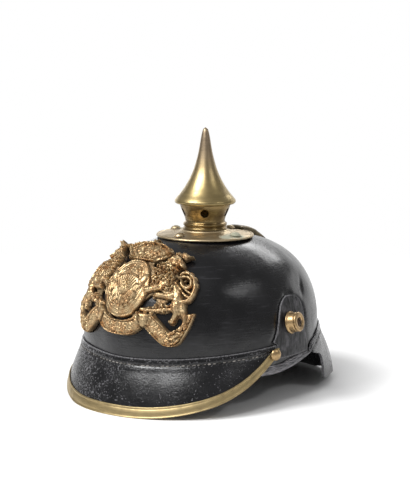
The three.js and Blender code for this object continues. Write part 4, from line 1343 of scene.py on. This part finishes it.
def draw_mane(plate):
    """Rows of hooked curls from the nape to the chest."""
    rng = np.random.default_rng(3)
    for row, v in enumerate(np.arange(35.5, 11.5, -3.5)):
        share = (35.5 - v) / 24
        left = mix(20, 25.5, share) + 1.6 * (row % 2)
        right = mix(38, 43, share)
        for u in np.arange(left, right, 3.7):
            turn = rng.uniform(-0.5, 0.5) - 0.9
            reach = 1.55 + rng.uniform(-0.2, 0.3)
            hook = []
            for step in range(5):
                angle = turn + step * 1.15
                grow = reach * (1.15 - 0.13 * step)
                hook.append((u + grow * math.cos(angle), v + rng.uniform(-0.2, 0.2) + grow * math.sin(angle),
                             0.95 - 0.09 * step))
            plate.stroke(hook, 6.6 - 0.8 * share + rng.uniform(-0.4, 0.4), 3.4)


def draw_head(plate):
    """The lion's head in profile, open-mouthed, with a small crown."""
    plate.boss(31.5, 42.5, 8, 7, 5.4, -15, 2.4)
    plate.stroke([(30, 45, 4.6), (36, 43.4, 3.6), (40.6, 40.4, 2.7), (42.6, 38.4, 2.2)], 6.8, 3)
    plate.stroke([(30.5, 37.5, 3), (35.5, 34.6, 2), (40, 33.6, 1.4)], 5.4, 2)
    plate.boss(43, 38.9, 1.5, 1.3, 7, 0, 3.4)
    plate.stroke([(33.4, 46.6, 1.2), (36.4, 45.6, 1.2), (38.6, 43.6, 0.9)], 7.6, 5)
    plate.boss(36.4, 43.2, 1, 0.75, 7.6, -25, 5)
    plate.groove([(34, 37.3), (37.5, 36.4), (41.5, 35.9)], 0.95, 3.2)
    plate.groove([(34.6, 42.4), (38.2, 42)], 0.4, 1)
    for u, v in ((38.4, 36.9), (40.4, 36.3), (37.8, 35.1)):
        plate.boss(u, v, 0.55, 0.8, 5.4, 0, 2)
    plate.stroke([(27, 46.5, 1.6), (25.6, 49.2, 1.1), (25.2, 50.8, 0.7)], 6.8, 3)
    for reach in range(4):
        u = 24.5 + 1.5 * reach
        v = 44 - 3 * reach
        plate.stroke([(u + 3.5, v + 1, 1.2), (u, v, 1.2), (u - 2.4, v - 2.4, 0.7)], 6.2, 3)
    plate.fill([(26.4, 47.6), (28.2, 51.2), (32, 53.6), (38.4, 54.8), (46.4, 53.4), (42.4, 50.2),
                (39.6, 46.4),
                (33, 49)], 3.2, 1.4, 1.6)
    plate.stroke([(26.6, 48.2, 0.8), (33, 50, 0.9), (39, 47.6, 0.8)], 5.2, 3)
    for foot, tip in (((30, 50.4), (31.4, 53.6)), ((34.4, 50.4), (38, 54.6)), ((38.2, 48.8), (46, 53.2))):
        plate.stroke([(*foot, 1.2), (*tip, 0.5)], 5.2, 3)


def draw_tail(plate):
    """The tail, thrown up in a double loop with tufts."""
    plate.stroke([(53, 7, 2), (58.6, 9.4, 1.9), (61, 15, 1.9), (61.2, 22, 2), (58, 29, 2),
                  (52, 33.6, 2), (46.6, 33.4, 1.9), (44.2, 30, 1.6)], 5.2, 1.4)
    plate.stroke([(45, 27.4, 1.3), (48.4, 29.4, 1.5), (52.5, 29.6, 1.6), (56, 26.8, 1.7), (57, 22.4, 1.7),
                  (53.6, 19.6, 1.7), (49, 21.4, 1.7), (46.6, 25, 1.6), (42.6, 27.6, 1.4)], 5.8, 1.6)
    plate.stroke([(42.6, 22, 1.2), (46.6, 19, 1.5), (51.4, 15.6, 1.6), (56, 12.8, 1.6),
                  (60, 12.4, 1.4)], 5, 1.4)
    plate.stroke([(49, 21, 1.3), (54.4, 17.6, 1.4), (59.6, 16, 1.3)], 5.4, 1.4)
    for u, v, turn in ((47.2, 35.2, 20), (53, 34.8, -20), (58.4, 31.2, -50), (61.8, 25.4, -75)):
        plate.boss(u, v, 2.6, 1.5, 4.6, turn)
        plate.vein(u, v, turn, 1.8, 2)


def draw_branch(plate):
    """A leafy bracket under the lion's feet."""
    plate.stroke([(52, -2, 1.6), (44, -1.6, 1.6), (37, -3.6, 1.6), (29, -5.6, 1.6),
                  (20, -6.2, 1.8)], 3.8, 1.2)
    leaves = ((42.5, 1.2, 55), (39.6, -5, -60), (37.4, 0.2, 120), (34.6, -6.2, -70), (32.4, -1.4, 115),
              (30, -8.2, -110), (27, -3.4, 100), (24.6, -7.8, -95))
    for u, v, turn in leaves:
        plate.boss(u, v, 2.7, 1.35, 4.8, turn, 1.2)
        plate.vein(u, v, turn, 2, 2.2)


def punch(plate, rng, u, v, foot):
    """One grain of the matted ground."""
    long, wide = rng.uniform(0.5, 0.9), rng.uniform(0.4, 0.7)
    plate.boss(u, v, long, wide, foot + 0.9, rng.uniform(0, 180), foot)


def draw_ribbon(plate):
    """A folded ribbon under it all. Its face is left plain, with a fine matted ground."""
    rng = np.random.default_rng(11)
    plate.fill(mirrored_half([(0, -17.6), (8, -16.8), (14, -14.2), (18.6, -9.6), (20.2, -14),
                              (22.6, -20.8),
                              (17.5, -26.2), (10, -29), (0, -29.8)]), 2.4, 1.1, 3)
    plate.stroke([(0, -18.2), (8, -17.5), (14, -15.2), (18, -11.2)], 4.4, 2.6, width=0.8)
    plate.stroke([(0, -29.2), (9.5, -28.6), (16.8, -26), (22, -21.4)], 4.4, 2.4, width=0.8)
    plate.fill([(18.2, -9), (28.4, -9.2), (27.2, -17.5), (24.6, -20.6), (20.6, -19.6)], 3, 2, 1.6)
    plate.stroke([(18.6, -9.6, 1.1), (19.4, -14.5, 1.1), (21.4, -20, 1)], 6.2, 3)
    strip = [(28, -9), (31.6, -8.6), (47.5, -20), (55, -18.6), (58.6, -15.8), (61, -9), (60.4, -2),
             (67.6, 0.8), (66.6, -10), (62.6, -23), (57.6, -31), (47.5, -33.6), (41, -31.4), (26, -19.4)]
    plate.fill(strip, 2.2, 1.2, 2.4)
    upper = [(29, -9.4), (37.5, -14), (46, -20.4), (49.6, -23.6)]
    lower = [(26.6, -20), (34, -25.6), (41.5, -30.8), (47.5, -32.8), (57, -30.4), (61.6, -23.6),
             (65.6, -11),
             (67.2, -0.4)]
    plate.stroke(upper, 4.3, 2.4, width=0.8)
    plate.stroke(lower, 4.3, 2.2, width=0.8)
    for _ in range(150):
        along = rng.uniform(0, 1)
        across = rng.uniform(-0.8, 0.8)
        u = mix(29, 49, along) + across * 2.6
        v = mix(-15, -28, along) + across * 3.2
        punch(plate, rng, u, v, 3)
    for _ in range(110):
        u = rng.uniform(0.4, 16.5)
        v = -23.4 + 0.012 * u * u + rng.uniform(-3.4, 3.4)
        punch(plate, rng, u, v, 3.2)
    sprays = ((49, -21.6, 35, 4.4), (52.6, -19.8, 60, 4), (55.6, -22.6, 35, 4.6), (51.6, -25.6, 20, 4.6),
              (57.4, -26, 50, 4.2), (53.6, -29.4, 15, 4), (60.4, -19.8, 75, 4.6), (62, -13.4, 80, 4.2),
              (63.8, -7.4, 72, 3.8), (48, -28.6, -10, 3.6))
    for u, v, turn, size in sprays:
        c, s = (0.6 * size * part for part in heading(turn))
        plate.stroke([(u - c, v - s, 0.6), (u, v, 1.5), (u + c, v + s, 0.5)], 5, 2.6)
        plate.vein(u, v, turn, 0.5 * size, 0.6 * size)


def draw_plate():
    """The whole relief, its openings and its rolled-down edges."""
    plate = Relief()
    draw_ground(plate)
    draw_tail(plate)
    draw_branch(plate)
    draw_ribbon(plate)
    draw_shield(plate)
    draw_crown(plate)
    draw_lion(plate)
    openings = (
        [(32.5, -7.6), (40, -6.2), (45.6, -3.4), (47.6, -5), (46.6, -8.6), (46.4, -13.4), (51.4, -14),
         (53, -8.6), (55, -6.6), (57.6, -8.8), (57, -13.6), (53.6, -16.6), (48.2, -19.2), (40, -13.8)],
        [(14.6, -9.6), (17.8, -4.6), (20.4, 0.6), (24.6, 6.2), (31.6, 11.4), (26.6, 4.6), (30.4, 3.8),
         (29.8, -1.4),
         (24, -3.6), (20.4, -4.6), (17, -8.2)],
        [(0, -16), (6, -15.6), (11.6, -12.6), (12, -13.8), (6, -17), (0, -17.4)],
        [(13.4, 34.6), (17.2, 38.4), (21.8, 43.4), (25, 47.8), (28.8, 49.6), (28.6, 45.2), (25.6, 40.6),
         (21.6, 35.6), (17.4, 32.2)],
        [(39.2, 2.6), (41.6, 5.6), (44.8, 6), (44.4, 2.8), (41.6, 1.6)],
        [(44.8, 23.2), (43.6, 24.6), (44.6, 25.6), (46.4, 23.6)],
        [(49.6, 25), (51.6, 27.2), (54.2, 26), (53, 23.6)],
        [(50.6, 18), (54, 16.2), (57.6, 14.6), (53, 15.6)],
        [(46.6, 30.6), (48.4, 31.8), (51, 31.4), (48.6, 30.8)],
    )
    for outline in openings:
        plate.opening(list(outline))
    flat = np.stack([plate.u, plate.v, 0 * plate.u], -1)
    # The figures are chased all over with short combed strokes, but the shield only faintly.
    beside = ease(np.hypot(plate.u / 21, (plate.v - 9.5) / 25.5), 0.9, 1.05)
    combed = np.stack([plate.u + 0.7 * plate.v, 0.4 * (plate.v - 0.7 * plate.u), 0 * plate.u], -1)
    chased = 0.28 * noise(flat, 2.4, 8) + 0.5 * noise(combed, 1.25, 5)
    plate.height += mix(0.08, 1, beside) * chased + 0.1
    # Its edges are rolled down.
    edge = np.sqrt(np.clip(-plate.outside / 0.9, 0, 1))
    plate.height = 1 + np.clip(plate.height - 1, 0, None) * mix(0.25, 1, edge)
    return plate


def plate_places(u, v, offset):
    """Where the ray of each chart place leaves the bowl's surface set off by an amount."""
    tilt = math.radians(PLATE["tilt"])
    out = np.array([0, -math.cos(tilt), math.sin(tilt)])
    up = np.array([0, math.sin(tilt), math.cos(tilt)])
    centre = np.array(PLATE["centre"])
    eye = centre - PLATE["eye"] * out
    target = centre + u[..., None] * np.array([1.0, 0, 0]) + v[..., None] * up
    low, high = np.full(u.shape, 0.5), np.full(u.shape, 1.5)
    for _ in range(26):
        middle = (low + high) / 2
        point = eye + (target - eye) * middle[..., None]
        across, along = point[..., 0] / (HALF_WIDTH + offset), -point[..., 1] / (HALF_LENGTH + offset)
        angle = np.degrees(np.arctan2(across, along))
        ring = crown_share(point[..., 2], offset) * swell(angle, point[..., 2])
        beyond = np.hypot(across, along) > ring
        high = np.where(beyond, middle, high)
        low = np.where(beyond, low, middle)
    return eye + (target - eye) * low[..., None]


def helmet_plate():
    """A grid over the chart, cut to the outline, raised to the relief and given its thickness."""
    plate = draw_plate()
    height, outside = (np.concatenate([part[:0:-1], part]) for part in (plate.height, plate.outside))
    u = np.concatenate([-CHART_U[:0:-1], CHART_U])[:, None] + 0 * height
    v = CHART_V[None] + 0 * height
    # Places just outside the outline are drawn back on to it.
    slope_u, slope_v = np.gradient(outside, CELL)
    steep = np.maximum(np.hypot(slope_u, slope_v), 0.3)
    pull = np.where((outside > 0) & (outside < 1.5 * CELL), outside / steep ** 2, 0)
    u, v = u - pull * slope_u, v - pull * slope_v
    # The plate springs off the bowl at its wings and its top, and most at the far lion's crown.
    stand_off = 0.7 + 2.6 * ease(u, 40, 66) + 2.2 * ease(v, 44, 64)
    stand_off = stand_off + 7.5 * ease(-u, 21, 28) * ease(v, 46, 55) * (1 - 0.8 * ease(-u, 33, 43))
    front = plate_places(u, v, stand_off + height)
    back = plate_places(u, v, PLATE["inner"] + 0.75 * (stand_off - 0.7))
    piece = sheet("plate_relief", front)
    # Tarnish and painted shade lie on the low ground, in whatever is lower than its surroundings, and along
    # the outline.
    low = np.clip((2.9 - height) / 1.9, 0, 1)
    smoothed = height
    for _ in range(9):
        near = [np.roll(smoothed, step, axis) for axis in (0, 1) for step in (1, -1)]
        smoothed = (sum(near) + smoothed) / 5
    low = np.maximum(low * 0.8, np.clip((smoothed - height) / 0.65, 0, 1))
    low = np.where(outside > -0.5, np.maximum(low, 0.35), low)
    note(piece, "hollow", low.T)
    back_row = to_row(back.transpose(1, 0, 2).reshape(-1, 3))
    piece.data.attributes.new("back", "FLOAT_VECTOR", "POINT").data.foreach_set("vector", back_row.ravel())
    drop_points(piece, (outside > 0.9 * CELL).T.ravel())
    keep_largest(piece)
    count = len(piece.data.vertices)
    weld(piece, reach=0)
    face_out(piece)
    modify(piece, "SOLIDIFY", thickness=1.0 * MM, offset=-1.0)
    behind = np.empty(len(piece.data.vertices) * 3)
    piece.data.attributes["back"].data.foreach_get("vector", behind)
    points = points_of(piece)
    points[count:] = behind.reshape(-1, 3)[count:]
    put_points(piece, points)
    piece.data.attributes.remove(piece.data.attributes["back"])
    settle(piece, plate_brass(), "plate_brass", "helmet_plate", smooth=55)


def drop_points(piece, drop):
    """Deletes the marked points of a mesh."""
    only(piece)
    bpy.ops.object.mode_set(mode="EDIT")
    bpy.ops.mesh.select_mode(type="VERT")
    bpy.ops.mesh.select_all(action="DESELECT")
    bpy.ops.object.mode_set(mode="OBJECT")
    piece.data.vertices.foreach_set("select", drop)
    bpy.ops.object.mode_set(mode="EDIT")
    bpy.ops.mesh.delete(type="VERT")
    bpy.ops.object.mode_set(mode="OBJECT")


def keep_largest(piece):
    """Drops islands and loose ends: points that no chain of faces joins to the largest part."""
    count = len(piece.data.vertices)
    faces = np.empty(len(piece.data.polygons) * 4, int)
    piece.data.polygons.foreach_get("vertices", faces)
    faces = faces.reshape(-1, 4)
    label = np.arange(count)
    while True:
        least = label[faces].min(1)
        fresh = label.copy()
        np.minimum.at(fresh, faces.ravel(), np.repeat(least, 4))
        fresh = fresh[fresh]
        if (fresh == label).all():
            break
        label = fresh
    used = np.zeros(count, bool)
    used[faces.ravel()] = True
    sizes = np.bincount(label[used], minlength=count)
    drop_points(piece, ~used | (label != sizes.argmax()))


def face_out(piece):
    """Flips an open sheet on the front of the helmet if it faces the bowl."""
    facing = np.empty(len(piece.data.polygons) * 3)
    piece.data.polygons.foreach_get("normal", facing)
    if facing.reshape(-1, 3)[:, 1].mean() > 0:
        piece.data.flip_normals()


# ---- operators ----------------------------------------------------------------------------------
class HELMET_OT_shell(bpy.types.Operator):
    """Make the bowl and its rolled rim"""

    bl_idname = "helmet.shell"
    bl_label = "Bowl and Rim"

    def execute(self, context):
        leather_shell(context.scene.helmet_leather.shell_wall)
        rolled_rim()
        return {"FINISHED"}


class HELMET_OT_visors(bpy.types.Operator):
    """Make the front and rear visors with their stitches"""

    bl_idname = "helmet.visors"
    bl_label = "Visors and Stitches"

    def execute(self, context):
        sizes = context.scene.helmet_leather
        front_visor(sizes.visor_wall, sizes.stitch_pitch)
        rear_visor(sizes.visor_wall, sizes.stitch_pitch)
        return {"FINISHED"}


class HELMET_OT_tabs(bpy.types.Operator):
    """Make the leather tab under each post"""

    bl_idname = "helmet.tabs"
    bl_label = "Side Tabs"

    def execute(self, context):
        wall = context.scene.helmet_leather.tab_wall
        side_tab("tab_left", 1, wall)
        side_tab("tab_right", -1, wall)
        return {"FINISHED"}


class HELMET_OT_trim(bpy.types.Operator):
    """Make the brass trim and the rear spine"""

    bl_idname = "helmet.trim"
    bl_label = "Trim and Spine"

    def execute(self, context):
        visor_trim()
        rear_spine()
        return {"FINISHED"}


class HELMET_OT_spike(bpy.types.Operator):
    """Make the base plate, its nuts, the collar and the spike"""

    bl_idname = "helmet.spike"
    bl_label = "Spike and Base"

    def execute(self, context):
        spike_base()
        base_studs()
        spike_neck()
        spike()
        return {"FINISHED"}


class HELMET_OT_fittings(bpy.types.Operator):
    """Make the side posts, their screws and the trim's rivets"""

    bl_idname = "helmet.fittings"
    bl_label = "Posts and Rivets"

    def execute(self, context):
        for name, side in (("left", 1), ("right", -1)):
            side_post(name, side)
            trim_stud(name, side)
        return {"FINISHED"}


class HELMET_OT_plate(bpy.types.Operator):
    """Make the relief plate on the front"""

    bl_idname = "helmet.plate"
    bl_label = "Helmet Plate"

    def execute(self, context):
        helmet_plate()
        return {"FINISHED"}


class HELMET_OT_stage(bpy.types.Operator):
    """Set the floor, the lights and the camera"""

    bl_idname = "helmet.stage"
    bl_label = "Stage"

    def execute(self, context):
        studio_floor()
        studio_world()
        for name, place in LIGHTS.items():
            soft_light(name, *place, power=getattr(context.scene.helmet_stage, name))
        studio_camera()
        return {"FINISHED"}


class HELMET_PT_panel(bpy.types.Panel):
    """Lists what can be built"""

    bl_label = "Helmet"
    bl_idname = "HELMET_PT_panel"
    bl_space_type = "VIEW_3D"
    bl_region_type = "UI"
    bl_category = "Helmet"

    def draw(self, context):
        for group in (context.scene.helmet_leather, context.scene.helmet_brass, context.scene.helmet_stage):
            for key in group.__annotations__:
                self.layout.prop(group, key)
        for operator in OPERATORS:
            self.layout.operator(operator.bl_idname)


OPERATORS = (
    HELMET_OT_shell, HELMET_OT_visors, HELMET_OT_tabs, HELMET_OT_trim, HELMET_OT_spike,
    HELMET_OT_fittings, HELMET_OT_plate, HELMET_OT_stage,
)
GROUPS = {"helmet_leather": HelmetLeather, "helmet_brass": HelmetBrass, "helmet_stage": HelmetStage}


# ---- stage --------------------------------------------------------------------------------------
# Each light's plan angle and height angle, its distance in metres, and its width and height.
LIGHTS = {
    "key": (-19.0, 48.0, 1.5, 0.55, 0.55), "visor": (16.0, 44.0, 1.5, 0.4, 0.24),
    "side": (102.0, 39.0, 1.4, 0.46, 0.13), "back": (196.0, 33.0, 1.5, 0.9, 0.3),
    "screen": (195.0, 6.0, 1.6, 2.6, 0.8), "wing": (-116.0, 6.0, 1.5, 1.0, 0.7),
}
CAMERA = {
    "turn": 40.197, "distance": 1263.07, "height": 310.01, "pitch": 8.594, "roll": 0.26, "lens": 107.3,
}


def studio_camera():
    """Looks at the wearer's left front from a little above the spike."""
    place = CAMERA["distance"] * direction(CAMERA["turn"]) + (0, 0, CAMERA["height"])
    behind = Vector(direction(CAMERA["turn"], CAMERA["pitch"]))
    right = Vector(direction(CAMERA["turn"] + 90))
    facing = Matrix((right, behind.cross(right), behind)).transposed().to_4x4()
    rolled = facing @ Matrix.Rotation(math.radians(CAMERA["roll"]), 4, "Z")
    data = bpy.data.cameras.new("camera")
    data.lens = CAMERA["lens"]
    data.sensor_width = 36.0
    camera = bpy.data.objects.new("camera", data)
    camera.matrix_world = Matrix.Translation(Vector(to_row(place))) @ rolled
    bpy.context.scene.collection.objects.link(camera)
    bpy.context.scene.camera = camera


def studio_floor():
    """A white table whose glow is painted light: it glows a little outside the helmet's footprint but not
    under it, lightening the cast shadow there, and it fades away before its edge.
    """
    deselect()
    bpy.ops.mesh.primitive_circle_add(vertices=96, radius=1.0, fill_type="NGON")
    floor = bpy.context.object
    floor.name = "floor"
    material, add, place = begin("White Table")
    away = add("VectorMath", (place,), "Value", operation="LENGTH")
    # Painted light: the emission rises from none under the helmet to a faint glow beyond its footprint.
    white = add("BsdfPrincipled", {
        "Base Color": linear("f4f4f4"), "Roughness": 1.0, "Specular IOR Level": 0.0,
        "Emission Color": linear("ffffff"), "Emission Strength": add("MapRange", (away, 0.11, 0.2, 0, 0.2)),
    })
    fade = add("MapRange", (away, 0.34, 0.8))
    add("OutputMaterial", {"Surface": add("MixShader", (fade, white, add("BsdfTransparent")))})
    floor.data.materials.append(material)


def studio_world():
    """White behind the helmet, and a dim room in its reflections."""
    world = bpy.data.worlds.new("room")
    world.use_nodes = True
    world.node_tree.nodes.clear()
    add = partial(add_node, world.node_tree)
    seen = add("LightPath", output="Is Camera Ray")
    room = add("Background", {"Color": (1, 1, 1, 1), "Strength": 0.29})
    white = add("Background", {"Color": (1, 1, 1, 1), "Strength": 1.0})
    add("OutputWorld", {"Surface": add("MixShader", (seen, room, white))})
    bpy.context.scene.world = world
    bpy.context.scene.view_settings.view_transform = "Standard"


def soft_light(name, turn, climb, distance, wide, tall, power):
    """A flat soft light at a plan angle and a height angle, aimed at the helmet."""
    ray = Vector(direction(turn, climb))
    data = bpy.data.lights.new(name, "AREA")
    data.shape = "RECTANGLE"
    data.size = wide
    data.size_y = tall
    data.energy = power
    light = bpy.data.objects.new(name, data)
    aim = Vector(to_row((0, 0, 90)))
    facing = ray.to_track_quat("Z", "Y").to_matrix().to_4x4()
    light.matrix_world = Matrix.Translation(aim + ray * distance) @ facing
    light.visible_camera = False
    bpy.context.scene.collection.objects.link(light)


def register():
    for kind in (*GROUPS.values(), *OPERATORS, HELMET_PT_panel):
        bpy.utils.register_class(kind)
    for name, kind in GROUPS.items():
        setattr(bpy.types.Scene, name, PointerProperty(type=kind))


def unregister():
    for name in GROUPS:
        delattr(bpy.types.Scene, name)
    for kind in reversed((*GROUPS.values(), *OPERATORS, HELMET_PT_panel)):
        bpy.utils.unregister_class(kind)


def main():
    register()
    bpy.ops.helmet.shell()
    bpy.ops.helmet.visors()
    bpy.ops.helmet.tabs()
    bpy.ops.helmet.trim()
    bpy.ops.helmet.spike()
    bpy.ops.helmet.fittings()
    bpy.ops.helmet.plate()
    bpy.ops.helmet.stage()


if __name__ == "__main__":
    main()
